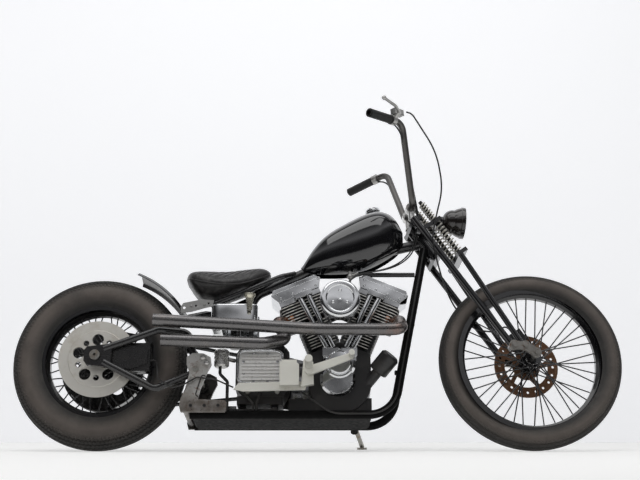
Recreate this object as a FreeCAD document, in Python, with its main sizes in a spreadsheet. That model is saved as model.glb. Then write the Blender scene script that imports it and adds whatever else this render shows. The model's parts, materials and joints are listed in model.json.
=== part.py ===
import FreeCAD, Part
import math
import os
import re
from types import SimpleNamespace

import Sketcher
from FreeCAD import Placement, Rotation, Vector

os.makedirs("parts", exist_ok=True)
doc = FreeCAD.newDocument("chopper")
sizes = doc.addObject("Spreadsheet::Sheet", "sizes")

# Upright frame of the machine: X forward, Y to its left, Z up, origin on the floor midway
# between the axles. Lengths are millimetres and angles are degrees.
driving_sizes = (
    ("rear_tyre_gap", 17.0, "rear tyre behind the cross tube of the swingarm"),
    ("lean_angle", 12.0, "lean to the left on the side stand"),
    ("steer_angle", 6.0, "steering turned to the left"),
    ("fit_gap", 0.3, "seat of one piece on another"),
    ("bearing_gap", 0.05, "radial gap of a running shaft"),

    ("rear_tyre_radius", 330.0, "outside of the rear tyre"),
    ("rear_tyre_crown", 68.0, "radius of the rear tread section"),
    ("rear_bead_radius", 206.0, "rear tyre bead"),
    ("rear_bead_half", 44.0, "half width between the rear bead heels"),
    ("rear_flange_radius", 219.0, "rear rim flange"),
    ("front_tyre_radius", 347.0, "outside of the front tyre"),
    ("front_tyre_crown", 43.0, "radius of the front tread section"),
    ("front_bead_radius", 269.0, "front tyre bead"),
    ("front_bead_half", 27.0, "half width between the front bead heels"),
    ("front_flange_radius", 281.5, "front rim flange"),
    ("tyre_wall", 12.0, "thickness of a tyre"),
    ("rim_wall", 4.5, "thickness of a rim"),
    ("rim_flange_wall", 5.0, "thickness of a rim flange"),
    ("rear_well_depth", 13.0, "drop centre below the rear bead seat"),
    ("front_well_depth", 11.0, "drop centre below the front bead seat"),
    ("spoke_diameter", 5.0, "wire spoke"),
    ("spoke_cross_angle", 54.0, "turn from hub hole to rim hole"),
    ("rear_hub_flange_radius", 58.0, "spoke flange of the rear hub"),
    ("rear_hub_flange_half", 37.0, "middle of a rear spoke flange"),
    ("rear_hub_half", 80.0, "half length of the rear hub"),
    ("rear_hub_core_radius", 32.0, "barrel of the rear hub"),
    ("rear_hub_boss_radius", 42.0, "carrier boss of the rear hub"),
    ("front_hub_flange_radius", 36.0, "spoke flange of the front hub"),
    ("front_hub_flange_half", 30.0, "middle of a front spoke flange"),
    ("front_hub_half", 62.0, "half length of the front hub"),
    ("front_hub_core_radius", 20.0, "barrel of the front hub"),
    ("front_hub_boss_radius", 30.0, "disc boss of the front hub"),
    ("hub_flange_wall", 8.0, "thickness of a spoke flange"),
    ("rear_axle_radius", 10.0, "rear axle"),
    ("rear_axle_bore_radius", 5.0, "bore through the rear axle"),
    ("axle_spacer_radius", 16.0, "spacers on the rear axle"),
    ("front_axle_radius", 8.0, "front axle"),

    ("rear_disc_radius", 146.0, "rear brake disc"),
    ("rear_disc_step_radius", 110.0, "raised middle of the rear disc"),
    ("rear_disc_wall", 6.0, "thickness of the rear disc"),
    ("rear_disc_step", 4.0, "height of the raised middle"),
    ("disc_hole_circle", 73.0, "radius of the circle of holes in the rear disc"),
    ("disc_large_hole", 22.0, "radius of a large hole"),
    ("disc_small_hole", 11.0, "radius of a small hole"),
    ("front_disc_radius", 124.0, "front brake disc"),
    ("front_disc_inner", 84.0, "inside of the front friction ring"),
    ("front_disc_wall", 5.0, "thickness of the front disc"),
    ("front_disc_side", 62.0, "inner face of the front disc"),
    ("pulley_radius", 154.0, "rear belt pulley"),
    ("pulley_width", 34.0, "width of the belt pulleys"),
    ("drive_pulley_radius", 62.0, "front belt pulley"),
    ("belt_wall", 8.0, "thickness of the belt"),
    ("belt_width", 30.0, "width of the belt"),
    ("belt_gap", 0.6, "gap of the belt round its pulleys"),

    ("rake", 35.0, "steering head from the vertical"),
    ("head_x", 424.5, "middle of the steering head, forward"),
    ("head_z", 815.7, "middle of the steering head, up"),
    ("head_radius", 27.0, "outside of the steering head"),
    ("head_half", 64.0, "half length of the steering head"),
    ("stem_radius", 12.5, "steering stem"),
    ("fork_offset", 52.0, "front axle ahead of the steering axis"),
    ("fork_leg_side", 88.0, "fork leg to the middle"),
    ("rear_leg_radius", 13.5, "rigid fork leg"),
    ("front_leg_radius", 11.0, "spring fork leg"),
    ("front_leg_top_u", 64.0, "top of a spring leg ahead of the steering axis"),
    ("front_leg_foot_u", 34.0, "foot of a spring leg ahead of the steering axis"),
    ("fork_yoke_w", -128.0, "spring yoke along the steering axis"),
    ("rocker_w", -541.0, "rocker pivot along the steering axis"),
    ("rocker_wall", 13.0, "thickness of a rocker"),
    ("spring_u", 79.0, "springs ahead of the steering axis"),
    ("spring_side", 46.0, "springs to the middle"),
    ("perch_reach", 12.0, "front edge of the spring perch ahead of the springs"),
    ("lower_spring_radius", 16.0, "middle of the lower spring wire"),
    ("upper_spring_radius", 13.0, "middle of the upper spring wire"),
    ("spring_wire_radius", 3.0, "spring wire"),
    ("spring_rod_radius", 8.0, "spring rod"),
    ("bar_radius", 12.7, "handlebar tube"),
    ("bar_bore_radius", 10.2, "bore of the handlebar ends"),
    ("grip_radius", 17.0, "rubber grip"),
    ("grip_length", 122.0, "rubber grip"),
    ("headlamp_radius", 63.0, "headlamp rim"),
    ("headlamp_depth", 84.0, "headlamp from back to rim"),

    ("rail_radius", 16.0, "tubes of the frame cradle"),
    ("rail_side", 104.0, "lower rails to the middle"),
    ("rail_height", 116.0, "lower rails above the floor"),
    ("rail_rear_x", -459.6, "rear end of the lower rails"),
    ("backbone_radius", 20.0, "backbone tube"),
    ("seat_rail_radius", 11.0, "seat rails"),
    ("cross_tube_radius", 11.0, "cross tubes of the cradle"),
    ("casting_side", 148.0, "inner face of a rear casting"),
    ("casting_wall", 16.0, "thickness of a rear casting"),
    ("swing_pivot_x", -437.0, "swingarm pivot, forward"),
    ("swing_pivot_z", 275.0, "swingarm pivot, up"),
    ("swing_side", 132.0, "swingarm tubes to the middle"),
    ("swing_tube_radius", 13.5, "swingarm tubes"),
    ("swing_cross_x", -452.0, "cross tube of the swingarm, forward"),
    ("swing_cross_z", 310.0, "cross tube of the swingarm, up"),
    ("swing_cross_radius", 15.0, "cross tube of the swingarm"),

    ("crank_x", 93.0, "crankshaft, forward"),
    ("crank_z", 248.0, "crankshaft, up"),
    ("bank_angle", 22.5, "each cylinder from the vertical"),
    ("crankcase_radius", 118.0, "round part of the crankcase"),
    ("crankcase_half", 74.0, "half width of the crankcase"),
    ("deck_height", 140.0, "cylinder base above the crankshaft"),
    ("barrel_length", 122.0, "cylinder barrel"),
    ("head_length", 88.0, "cylinder head"),
    ("rocker_cover_length", 74.0, "rocker cover"),
    ("cover_half_length", 100.0, "widest part of a rocker cover along the machine"),
    ("cover_foot_half", 82.0, "foot of a rocker cover along the machine"),
    ("cover_top_half", 86.0, "top of a rocker cover along the machine"),
    ("cover_shift", 14.0, "rocker cover outwards of its cylinder"),
    ("cover_half_width", 78.0, "rocker cover across the machine"),
    ("barrel_radius", 47.0, "core of a barrel"),
    ("fin_half_length", 63.0, "barrel fin along the machine"),
    ("fin_half_width", 74.0, "barrel fin across the machine"),
    ("fin_wall", 3.2, "thickness of a fin"),
    ("fin_pitch", 11.5, "spacing of the fins"),
    ("air_cleaner_radius", 75.0, "air cleaner"),
    ("air_cleaner_depth", 44.0, "air cleaner"),
    ("air_cleaner_side", 176.0, "back of the air cleaner to the middle"),
    ("pushrod_radius", 10.0, "pushrod tubes"),
    ("lifter_top", 121.0, "top of the lifter block above the crankshaft"),
    ("cam_cover_radius", 62.0, "cam cover"),
    ("primary_side", 117.0, "inner face of the primary cover"),
    ("primary_depth", 60.0, "depth of the primary cover"),
    ("clutch_x", -172.0, "clutch and front pulley, forward"),
    ("clutch_z", 300.0, "clutch and front pulley, up"),
    ("pipe_radius", 23.0, "exhaust pipes"),
    ("pipe_wall", 2.0, "wall of the exhaust pipes"),
    ("pipe_side", 192.0, "exhaust pipes to the middle"),
    ("oil_filter_radius", 37.0, "oil filter"),
    ("oil_tank_low", 452.0, "underside of the oil tank"),

    ("tank_wall_gap", 6.0, "tank tunnel round the backbone"),
    ("peg_radius", 14.0, "foot pegs"),
    ("peg_reach", 300.0, "tip of a foot peg to the middle"),
    ("stand_foot_side", 290.0, "foot of the side stand to the middle"),
    ("stand_foot_x", 184.0, "foot of the side stand, forward"),
    ("stand_leg_radius", 9.0, "leg of the side stand"),
    ("stand_pin_radius", 7.0, "pivot pin of the side stand"),
    ("stand_eye_half", 11.0, "half height of the eye of the side stand"),
    ("cable_radius", 3.2, "control cables"),
)

for row, (alias, number, note) in enumerate(driving_sizes, start=1):
    sizes.set("A%d" % row, note)
    sizes.set("B%d" % row, str(number))
    sizes.setAlias("B%d" % row, alias)
doc.recompute()
S = SimpleNamespace(**{alias: float(sizes.get(alias)) for alias, number, note in driving_sizes})
alias_names = re.compile(r"\b(%s)\b" % "|".join(alias for alias, number, note in driving_sizes))

X = Vector(1, 0, 0)
Y = Vector(0, 1, 0)
Z = Vector(0, 0, 1)
RIGHT = -1
LEFT = 1
SIDES = (("right", RIGHT), ("left", LEFT))


# Helpers that tie objects to the sheet

def formula(text):
    """The text with every alias pointed at the sheet."""
    return alias_names.sub(r"sizes.\1", str(text))


def number(text):
    """The present value of a formula."""
    return float(eval_number(str(text)))


def eval_number(text):
    probe = sizes.evalExpression(formula(text))
    return getattr(probe, "Value", probe)


def bind(item, prop, text):
    item.setExpression(prop, formula(text))


def cylinder(name, radius, height, base, axis=Z):
    item = doc.addObject("Part::Cylinder", name)
    bind(item, "Radius", radius)
    bind(item, "Height", height)
    item.Placement = Placement(base, Rotation(Z, axis))
    return item


def box(name, length, width, height, corner, rotation=None):
    item = doc.addObject("Part::Box", name)
    bind(item, "Length", length)
    bind(item, "Width", width)
    bind(item, "Height", height)
    item.Placement = Placement(corner, rotation or Rotation())
    return item


def fuse(name, items):
    item = doc.addObject("Part::MultiFuse", name)
    item.Shapes = items
    item.Refine = False
    return item


def cut(name, base, tool):
    item = doc.addObject("Part::Cut", name)
    item.Base = base
    item.Tool = tool
    return item


def group(name, items):
    item = doc.addObject("Part::Compound", name)
    item.Links = items
    return item


def feature(name, shape):
    item = doc.addObject("Part::Feature", name)
    item.Shape = shape
    return item


def body(name):
    return doc.addObject("PartDesign::Body", name)


def sketch_on(owner, role, offset="0"):
    """A sketch on an origin plane of its own body, moved along the plane's normal."""
    sketch = owner.newObject("Sketcher::SketchObject", owner.Name + "_sketch")
    plane = next(item for item in owner.Origin.OriginFeatures if item.Role == role)
    sketch.AttachmentSupport = [(plane, "")]
    sketch.MapMode = "FlatFace"
    bind(sketch, ".AttachmentOffset.Base.z", offset)
    return sketch


def fix_point(sketch, geometry, position, across, up):
    for kind, text in (("DistanceX", across), ("DistanceY", up)):
        index = sketch.addConstraint(Sketcher.Constraint(kind, -1, 1, geometry, position, number(text)))
        bind(sketch, "Constraints[%d]" % index, text)


def outline(sketch, corners):
    """A closed outline. A corner is (across, up) or (across, up, radius): the radius of the arc
    that leads to the next corner, positive where the arc turns left."""
    flat = [Vector(number(corner[0]), number(corner[1]), 0) for corner in corners]
    ends = []
    for index, corner in enumerate(corners):
        start = flat[index]
        stop = flat[(index + 1) % len(flat)]
        if len(corner) == 2:
            ends.append((sketch.addGeometry(Part.LineSegment(start, stop)), 1, 2))
            continue
        radius = number(corner[2])
        chord = stop - start
        left = Vector(-chord.y, chord.x, 0).normalize()
        reach = math.sqrt(max(radius * radius - chord.Length ** 2 / 4, 0))
        centre = (start + stop) / 2 + left * math.copysign(reach, radius)
        first, last = (start, stop) if radius > 0 else (stop, start)
        circle = Part.Circle(centre, Z, abs(radius))
        arc = Part.ArcOfCircle(circle, math.atan2(first.y - centre.y, first.x - centre.x),
                               math.atan2(last.y - centre.y, last.x - centre.x))
        geometry = sketch.addGeometry(arc)
        ends.append((geometry, 1, 2) if radius > 0 else (geometry, 2, 1))
        index_radius = sketch.addConstraint(Sketcher.Constraint("Radius", geometry, abs(radius)))
        sign = "" if radius > 0 else "-1 * "
        bind(sketch, "Constraints[%d]" % index_radius, "%s(%s)" % (sign, corner[2]))
    for index, (geometry, start, stop) in enumerate(ends):
        following = ends[(index + 1) % len(ends)]
        sketch.addConstraint(Sketcher.Constraint("Coincident", geometry, stop, following[0], following[1]))
        fix_point(sketch, geometry, start, corners[index][0], corners[index][1])


def circle(sketch, across, up, radius):
    geometry = sketch.addGeometry(Part.Circle(Vector(number(across), number(up), 0), Z, number(radius)))
    fix_point(sketch, geometry, 3, across, up)
    index = sketch.addConstraint(Sketcher.Constraint("Radius", geometry, number(radius)))
    bind(sketch, "Constraints[%d]" % index, radius)


def revolve(owner, sketch, axis="V_Axis", angle=360.0):
    item = owner.newObject("PartDesign::Revolution", owner.Name + "_revolution")
    item.Profile = sketch
    item.ReferenceAxis = (sketch, [axis])
    item.Angle = angle
    doc.recompute()
    return item


def pad(owner, sketch, length, reverse=False):
    item = owner.newObject("PartDesign::Pad", owner.Name + "_pad")
    item.Profile = sketch
    bind(item, "Length", length)
    item.Reversed = reverse
    doc.recompute()
    return item


def pocket(owner, sketch, length, reverse=False):
    item = owner.newObject("PartDesign::Pocket", owner.Name + "_pocket")
    item.Profile = sketch
    bind(item, "Length", length)
    item.Reversed = reverse
    doc.recompute()
    return item


def origin_axis(owner, role):
    return next(item for item in owner.Origin.OriginFeatures if item.Role == role)


def row_of(owner, source, role, spacing, count):
    """A straight row of copies of a feature."""
    item = owner.newObject("PartDesign::LinearPattern", owner.Name + "_row")
    item.Originals = [source]
    item.Direction = (origin_axis(owner, role), [""])
    item.Occurrences = count
    bind(item, "Length", "(%s) * %d" % (spacing, count - 1))
    owner.Tip = item
    doc.recompute()
    return item


def ring_of(owner, source, role, count):
    """A full ring of copies of a feature."""
    item = owner.newObject("PartDesign::PolarPattern", owner.Name + "_ring")
    item.Originals = [source]
    item.Axis = (origin_axis(owner, role), [""])
    item.Angle = 360
    item.Occurrences = count
    owner.Tip = item
    doc.recompute()
    return item


def turned(name, corners):
    """A body turned about its Y axis from corners (radius, along)."""
    item = body(name)
    sketch = sketch_on(item, "XY_Plane")
    outline(sketch, corners)
    revolve(item, sketch)
    return item


def plate(name, corners, start, thickness, holes=()):
    """A plate in the XZ plane that grows towards the left from Y = start."""
    item = body(name)
    sketch = sketch_on(item, "XZ_Plane", "-(%s)" % start)
    outline(sketch, corners)
    for hole in holes:
        circle(sketch, *hole)
    pad(item, sketch, thickness, reverse=True)
    return item


# Bent tubes and cables

def bent_wire(points, radius=None):
    """Straight runs joined by tangent arcs. With no radius each arc takes 0.45 of its shorter run."""
    edges = []
    start = points[0]
    for before, corner, after in zip(points, points[1:], points[2:]):
        back = (before - corner).normalize()
        onward = (after - corner).normalize()
        half_turn = (math.pi - back.getAngle(onward)) / 2
        run = min((before - corner).Length, (after - corner).Length)
        bend = radius or 0.45 * run / math.tan(half_turn)
        setback = bend * math.tan(half_turn)
        entry = corner + back * setback
        leave = corner + onward * setback
        middle = corner + (back + onward).normalize() * (bend / math.cos(half_turn) - bend)
        edges.append(Part.LineSegment(start, entry).toShape())
        edges.append(Part.Arc(entry, middle, leave).toShape())
        start = leave
    edges.append(Part.LineSegment(start, points[-1]).toShape())
    return Part.Wire(edges)


def tube_shape(points, radius, bend=None):
    path = bent_wire(points, bend)
    section = Part.Wire(Part.Circle(points[0], points[1] - points[0], radius).toShape())
    return path.makePipeShell([section], True, False)


def tube(name, points, radius, bend=None):
    return feature(name, tube_shape(points, radius, bend))


def rod(name, start, stop, radius):
    """A straight round bar between two points."""
    return cylinder(name, radius, str((stop - start).Length), start, stop - start)


def mirror_points(points, side):
    return [Vector(point.x, point.y * side, point.z) for point in points]


# Places

lean = Placement(Vector(), Rotation(X, -S.lean_angle))
rake_angle = math.radians(S.rake)
head = Vector(S.head_x, 0, S.head_z)
head_axis = Vector(-math.sin(rake_angle), 0, math.cos(rake_angle))
head_forward = Vector(math.cos(rake_angle), 0, math.sin(rake_angle))
steer = Placement(Vector(), Rotation(head_axis, S.steer_angle), head)


def fork_point(forward, side, along):
    """A point of the unturned fork: ahead of the steering axis, to the left, and up along it."""
    return head + head_forward * forward + Y * side + head_axis * along


def front_axle_drop():
    """Length down the steering axis at which the leaning, turned tyre just meets the floor."""
    turned_fork = lean.multiply(steer)
    spin = turned_fork.Rotation.multVec(Y)
    ring = S.front_tyre_radius - S.front_tyre_crown
    wanted = ring * math.sqrt(1 - spin.z ** 2) + S.front_tyre_crown
    level = turned_fork.multVec(fork_point(S.fork_offset, 0, 0)).z
    return (wanted - level) / turned_fork.Rotation.multVec(head_axis).z


axle_w = front_axle_drop()
front_axle = fork_point(S.fork_offset, 0, axle_w)
rear_axle_height = S.rear_tyre_radius + S.rear_tyre_crown * (1 / math.cos(math.radians(S.lean_angle)) - 1)
rear_axle = Vector(S.swing_cross_x - S.swing_cross_radius - S.rear_tyre_gap - S.rear_tyre_radius, 0,
                   rear_axle_height)
crank = Vector(S.crank_x, 0, S.crank_z)
clutch = Vector(S.clutch_x, 0, S.clutch_z)
bank = math.radians(S.bank_angle)
head_base = S.deck_height + S.barrel_length
cover_base = head_base + S.head_length
crown_z = (S.crank_z + (cover_base + S.rocker_cover_length) * math.cos(bank)
           + (S.cover_top_half - S.cover_shift) * math.sin(bank))

world = {
    "frame": lean,
    "side_stand": lean,
    "rear_wheel": lean,
    "steering": lean.multiply(steer),
    "front_wheel": lean.multiply(steer),
}
nodes = {}


def finish(item, label, carrier, place=None):
    """Names a sub-part and stands it in the leaning machine."""
    item.Label = label
    item.Placement = world[carrier].multiply(place or Placement())
    nodes[label] = (item, carrier)
    return item


def at(point):
    return Placement(point, Rotation())


# Wheels

def tyre(name, end):
    radius, crown, bead, half = ("%s_%s" % (end, key) for key in ("tyre_radius", "tyre_crown", "bead_radius",
                                                                  "bead_half"))
    ring = "(%s - %s)" % (radius, crown)
    flange = "(%s_flange_radius + 1.5)" % end
    shoulder = "(%s * 0.84)" % crown
    return turned(name, (
        (bead, "-1 * " + half),
        (flange, "-1 * " + half),
        (flange + " + 1.5", "-1 * " + shoulder),
        (ring, "-1 * " + crown, crown),
        (radius, "0", crown),
        (ring, crown),
        (flange + " + 1.5", shoulder),
        (flange, half),
        (bead, half),
        (bead, half + " - tyre_wall"),
        (flange, half + " - tyre_wall"),
        (ring, crown + " - tyre_wall", "-1 * (%s - tyre_wall)" % crown),
        (radius + " - tyre_wall", "0", "-1 * (%s - tyre_wall)" % crown),
        (ring, "-1 * (%s - tyre_wall)" % crown),
        (flange, "-1 * (%s - tyre_wall)" % half),
        (bead, "-1 * (%s - tyre_wall)" % half),
    ))


def rim(name, end):
    seat = "(%s_bead_radius - fit_gap)" % end
    half = "(%s_bead_half + fit_gap)" % end
    flange = "%s_flange_radius" % end
    well = "(%s_bead_radius - fit_gap - %s_well_depth)" % (end, end)
    upper = [(flange, half), (seat, half), (seat, half + " * 0.62"), (well, half + " * 0.42")]
    lower = [(well + " - rim_wall", half + " * 0.36"), (seat + " - rim_wall", half + " * 0.56"),
             (seat + " - rim_wall", half + " + rim_flange_wall"), (flange, half + " + rim_flange_wall")]
    left_half = upper + lower
    right_upper = [(across, "-1 * (%s)" % up) for across, up in reversed(upper)]
    right_lower = [(across, "-1 * (%s)" % up) for across, up in reversed(lower)]
    return turned(name, upper + right_upper + right_lower + lower)


def spoked_hub(name, end, bore):
    """The hub of a wire wheel with its spokes, two crossed sets on each side."""
    flange = "%s_hub_flange_radius" % end
    middle = "%s_hub_flange_half" % end
    half = "%s_hub_half" % end
    core = "%s_hub_core_radius" % end
    boss = "%s_hub_boss_radius" % end
    side = [(core, middle + " - hub_flange_wall / 2"), (flange, middle + " - hub_flange_wall / 2"),
            (flange, middle + " + hub_flange_wall / 2"), (boss, middle + " + hub_flange_wall / 2"),
            (boss, half), (bore, half)]
    mirrored = [(across, "-1 * (%s)" % up) for across, up in reversed(side)]
    hub = turned(name + "_barrel", side + mirrored)
    hole_circle = number(flange) - 6
    rim_inside = number("%s_bead_radius - fit_gap - %s_well_depth - rim_wall - 3 * fit_gap" % (end, end))
    spokes = []
    for number_on_side in range(10):
        for side_sign in (RIGHT, LEFT):
            for lead in (-1, 1):
                hub_turn = 36 * number_on_side + (18 if lead > 0 else 0) + (9 if side_sign > 0 else 0)
                rim_turn = hub_turn + lead * S.spoke_cross_angle
                start = polar(hole_circle, hub_turn, side_sign * (number(middle) + lead * 5))
                stop = polar(rim_inside, rim_turn, side_sign * (7 + 2 * lead))
                spokes.append(rod(name + "_spoke", start, stop, "spoke_diameter / 2"))
    return fuse(name, [hub] + spokes)


def polar(radius, degrees, across):
    turn = math.radians(degrees)
    return Vector(radius * math.cos(turn), across, radius * math.sin(turn))


def wheels():
    finish(tyre("rear_tyre_body", "rear"), "rear_tyre", "rear_wheel", at(rear_axle))
    finish(tyre("front_tyre_body", "front"), "front_tyre", "front_wheel", at(front_axle))
    finish(rim("rear_rim_body", "rear"), "rear_rim", "rear_wheel", at(rear_axle))
    finish(rim("front_rim_body", "front"), "front_rim", "front_wheel", at(front_axle))
    rear = spoked_hub("rear_hub_item", "rear", "rear_axle_radius + bearing_gap")
    front = spoked_hub("front_hub_item", "front", "front_axle_radius + bearing_gap")
    finish(rear, "rear_spoked_hub", "rear_wheel", at(rear_axle))
    finish(front, "front_spoked_hub", "front_wheel", at(front_axle))


def rear_disc():
    """The rear brake disc: a plain rim, a raised middle and a ring of large and small holes."""
    inner = "-1 * rear_hub_half"
    disc = turned("rear_disc_body", (
        ("rear_axle_radius + 12", inner),
        ("rear_axle_radius + 12", inner + " - rear_disc_wall - rear_disc_step"),
        ("rear_disc_step_radius - 3", inner + " - rear_disc_wall - rear_disc_step"),
        ("rear_disc_step_radius", inner + " - rear_disc_wall"),
        ("rear_disc_radius", inner + " - rear_disc_wall"),
        ("rear_disc_radius", inner),
    ))
    for turn, radius in ((0.0, "disc_large_hole"), (36.0, "disc_small_hole")):
        sketch = sketch_on(disc, "XZ_Plane", "rear_hub_half - 1")
        across = "disc_hole_circle * %.6f" % math.cos(math.radians(turn + 90))
        up = "disc_hole_circle * %.6f" % math.sin(math.radians(turn + 90))
        circle(sketch, across, up, radius)
        hole = pocket(disc, sketch, "rear_disc_wall + rear_disc_step + 4", reverse=True)
        ring_of(disc, hole, "Y_Axis", 5)
    finish(disc, "rear_disc", "rear_wheel", at(rear_axle))


def rear_pulley():
    """The rear belt pulley: a toothed rim on a dished web with five windows."""
    inner = "rear_hub_half"
    web = inner + " + 10"
    outer = inner + " + pulley_width"
    pulley = turned("rear_pulley_body", (
        ("rear_axle_radius + 12", inner),
        ("pulley_radius - 20", inner),
        ("pulley_radius", inner),
        ("pulley_radius", outer),
        ("pulley_radius - 14", outer),
        ("pulley_radius - 20", web),
        ("rear_axle_radius + 12", web),
    ))
    sketch = sketch_on(pulley, "XZ_Plane", "-1 * (rear_hub_half - 1)")
    circle(sketch, "0", "92", "24")
    window = pocket(pulley, sketch, "14")
    ring_of(pulley, window, "Y_Axis", 5)
    finish(pulley, "rear_pulley", "rear_wheel", at(rear_axle))


def front_disc():
    """The drilled front disc on its five-armed carrier, on the left of the hub."""
    side = "front_disc_side"
    disc = turned("front_disc_body", (
        ("front_disc_inner", side),
        ("front_disc_radius", side),
        ("front_disc_radius", side + " + front_disc_wall"),
        ("front_disc_inner", side + " + front_disc_wall"),
    ))
    sketch = sketch_on(disc, "XZ_Plane", "-1 * (front_disc_side - 1)")
    circle(sketch, "0", "(front_disc_radius + front_disc_inner) / 2", "5")
    hole = pocket(disc, sketch, "front_disc_wall + 4")
    ring_of(disc, hole, "Y_Axis", 20)
    carrier = turned("front_carrier_hub", (
        ("front_axle_radius + 6", side),
        ("front_hub_boss_radius + 24", side),
        ("front_hub_boss_radius + 24", side + " + front_disc_wall"),
        ("front_axle_radius + 6", side + " + front_disc_wall"),
    ))
    arms = []
    for index in range(5):
        turn = 72 * index
        start = polar(S.front_hub_boss_radius + 18, turn, S.front_disc_side + S.front_disc_wall / 2)
        stop = polar(S.front_disc_inner + 4, turn + 12, S.front_disc_side + S.front_disc_wall / 2)
        along = stop - start
        rotation = Rotation(along, Y, Vector(), "XYZ")
        corner = start - rotation.multVec(Vector(0, S.front_disc_wall / 2, 8))
        arms.append(box("front_carrier_arm", str(along.Length), "front_disc_wall", "16", corner, rotation))
    finish(fuse("front_disc_item", [disc, carrier] + arms), "front_disc", "front_wheel", at(front_axle))


# Fork

def fork():
    leg_top = S.head_half + 26
    legs = []
    for word, side in SIDES:
        foot = fork_point(0, side * S.fork_leg_side, S.rocker_w)
        top = fork_point(0, side * S.fork_leg_side, leg_top)
        legs.append(rod("rear_leg_" + word, foot, top, "rear_leg_radius"))
        legs.append(cylinder("rear_leg_eye_" + word, "18", "2 * rear_leg_radius",
                             fork_point(0, side * S.fork_leg_side - S.rear_leg_radius, S.rocker_w), Y))
    lower = across_fork("lower_tree", -15, 18, -S.head_half - 22, -S.head_half - 6, S.fork_leg_side + 4)
    upper = across_fork("upper_tree", -15, 30, S.head_half + 6, S.head_half + 22, S.fork_leg_side + 4)
    perch = across_fork("spring_perch", -14, S.spring_u + S.perch_reach, 24, 40, S.fork_leg_side + 4)
    perch_relief = fuse("perch_relief_set", [
        cylinder("perch_relief", "head_radius + 6", "40", fork_point(0, 0, 12), head_axis)] + [
        cylinder("perch_hole_" + word, "spring_rod_radius + fit_gap", "40",
                 fork_point(S.spring_u, side * S.spring_side, 12), head_axis) for word, side in SIDES])
    stem = rod("stem", fork_point(0, 0, -S.head_half - 10), fork_point(0, 0, S.head_half + 10), "stem_radius")
    rear_fork = fuse("rear_fork", legs + [lower, upper, cut("perch_open", perch, perch_relief), stem])
    finish(rear_fork, "fork_rear_legs", "steering")

    pieces = []
    for word, side in SIDES:
        foot = fork_point(S.front_leg_foot_u, side * S.fork_leg_side, S.rocker_w - 26)
        top = fork_point(S.front_leg_top_u, side * S.fork_leg_side, S.fork_yoke_w)
        pieces.append(rod("front_leg_" + word, foot, top, "front_leg_radius"))
        pieces.append(cylinder("front_leg_eye_" + word, "15", "2 * rear_leg_radius",
                               fork_point(S.front_leg_foot_u, side * S.fork_leg_side - S.rear_leg_radius,
                                          S.rocker_w - 26), Y))
        pieces.append(rod("spring_rod_" + word, fork_point(S.spring_u, side * S.spring_side, S.fork_yoke_w),
                          fork_point(S.spring_u, side * S.spring_side, 142), "spring_rod_radius"))
    pieces.append(across_fork("spring_yoke", S.front_leg_top_u - 14, S.spring_u + 16, S.fork_yoke_w - 8,
                              S.fork_yoke_w + 8, S.fork_leg_side + 10))
    finish(fuse("front_fork", pieces), "fork_front_legs", "steering")


def across_fork(name, near, far, low, high, half):
    """A block across the fork, square to the steering axis."""
    rotation = Rotation(head_forward, Y, head_axis, "XYZ")
    return box(name, str(far - near), str(2 * half), str(high - low), fork_point(near, -half, low), rotation)


def coil(name, radius, wire, start, stop, turns):
    """A spring: a round wire swept along a helix between two points."""
    along = stop - start
    helix = Part.makeHelix(along.Length / turns, along.Length, radius)
    section = Part.Wire(Part.Circle(Vector(radius, 0, 0), Y, wire).toShape())
    shape = helix.makePipeShell([section], True, True)
    item = feature(name, shape)
    item.Placement = Placement(start, Rotation(Z, along))
    return item


def fork_springs():
    springs = []
    for word, side in SIDES:
        across = side * S.spring_side
        wire = S.spring_wire_radius
        springs.append(coil("lower_spring_" + word, S.lower_spring_radius, wire,
                            fork_point(S.spring_u, across, S.fork_yoke_w + 8 + wire + 1),
                            fork_point(S.spring_u, across, 24 - wire - 1), 9))
        springs.append(coil("upper_spring_" + word, S.upper_spring_radius, wire,
                            fork_point(S.spring_u, across, 40 + wire + 1),
                            fork_point(S.spring_u, across, 128), 7))
    finish(group("spring_set", springs), "fork_springs", "steering")


def link_bar(name, start, stop, width):
    along = stop - start
    rotation = Rotation(along, Y, Vector(), "XYZ")
    corner = start - rotation.multVec(Vector(0, 0, width / 2))
    return box(name, str(along.Length), "rocker_wall", str(width), corner, rotation)


def front_axle_set():
    inner = S.fork_leg_side + S.rear_leg_radius + S.fit_gap
    reach = inner + S.rocker_wall + 4
    axle = cylinder("front_axle_rod", "front_axle_radius", str(2 * reach),
                    fork_point(S.fork_offset, -reach, axle_w), Y)
    items = []
    for word, side in SIDES:
        start = inner if side > 0 else -inner - S.rocker_wall
        points = [(0, S.rocker_w), (S.front_leg_foot_u, S.rocker_w - 26), (S.fork_offset, axle_w)]
        spots = [fork_point(forward, start, along) for forward, along in points]
        items += [cylinder("rocker_boss_" + word, "19", "rocker_wall", spot, Y) for spot in spots]
        items.append(link_bar("rocker_bar_" + word, spots[0], spots[1], 30))
        items.append(link_bar("rocker_bar_" + word, spots[1], spots[2], 32))
        nut = start + (S.rocker_wall if side > 0 else -9)
        items += [cylinder("rocker_nut_" + word, "9.5", "9", fork_point(forward, nut, along), Y)
                  for forward, along in points]
        spacer = S.front_hub_half + S.fit_gap + 0.7
        items.append(cylinder("axle_spacer_" + word, "12", str(inner - spacer + 1),
                              fork_point(S.fork_offset, spacer if side > 0 else -inner - 1, axle_w), Y))
    finish(fuse("rocker_set", [axle] + items), "fork_rockers", "steering")


grip_end = Vector(172, 358, 1197)
top_bend = Vector(318, 226, 1228)
low_bend = Vector(372, 88, 946)


def bar_tip(side):
    return Vector(grip_end.x, side * grip_end.y, grip_end.z)


def bar_end_axis(side):
    """The direction in which a grip points."""
    return (bar_tip(side) - Vector(top_bend.x, side * top_bend.y, top_bend.z)).normalize()


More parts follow.
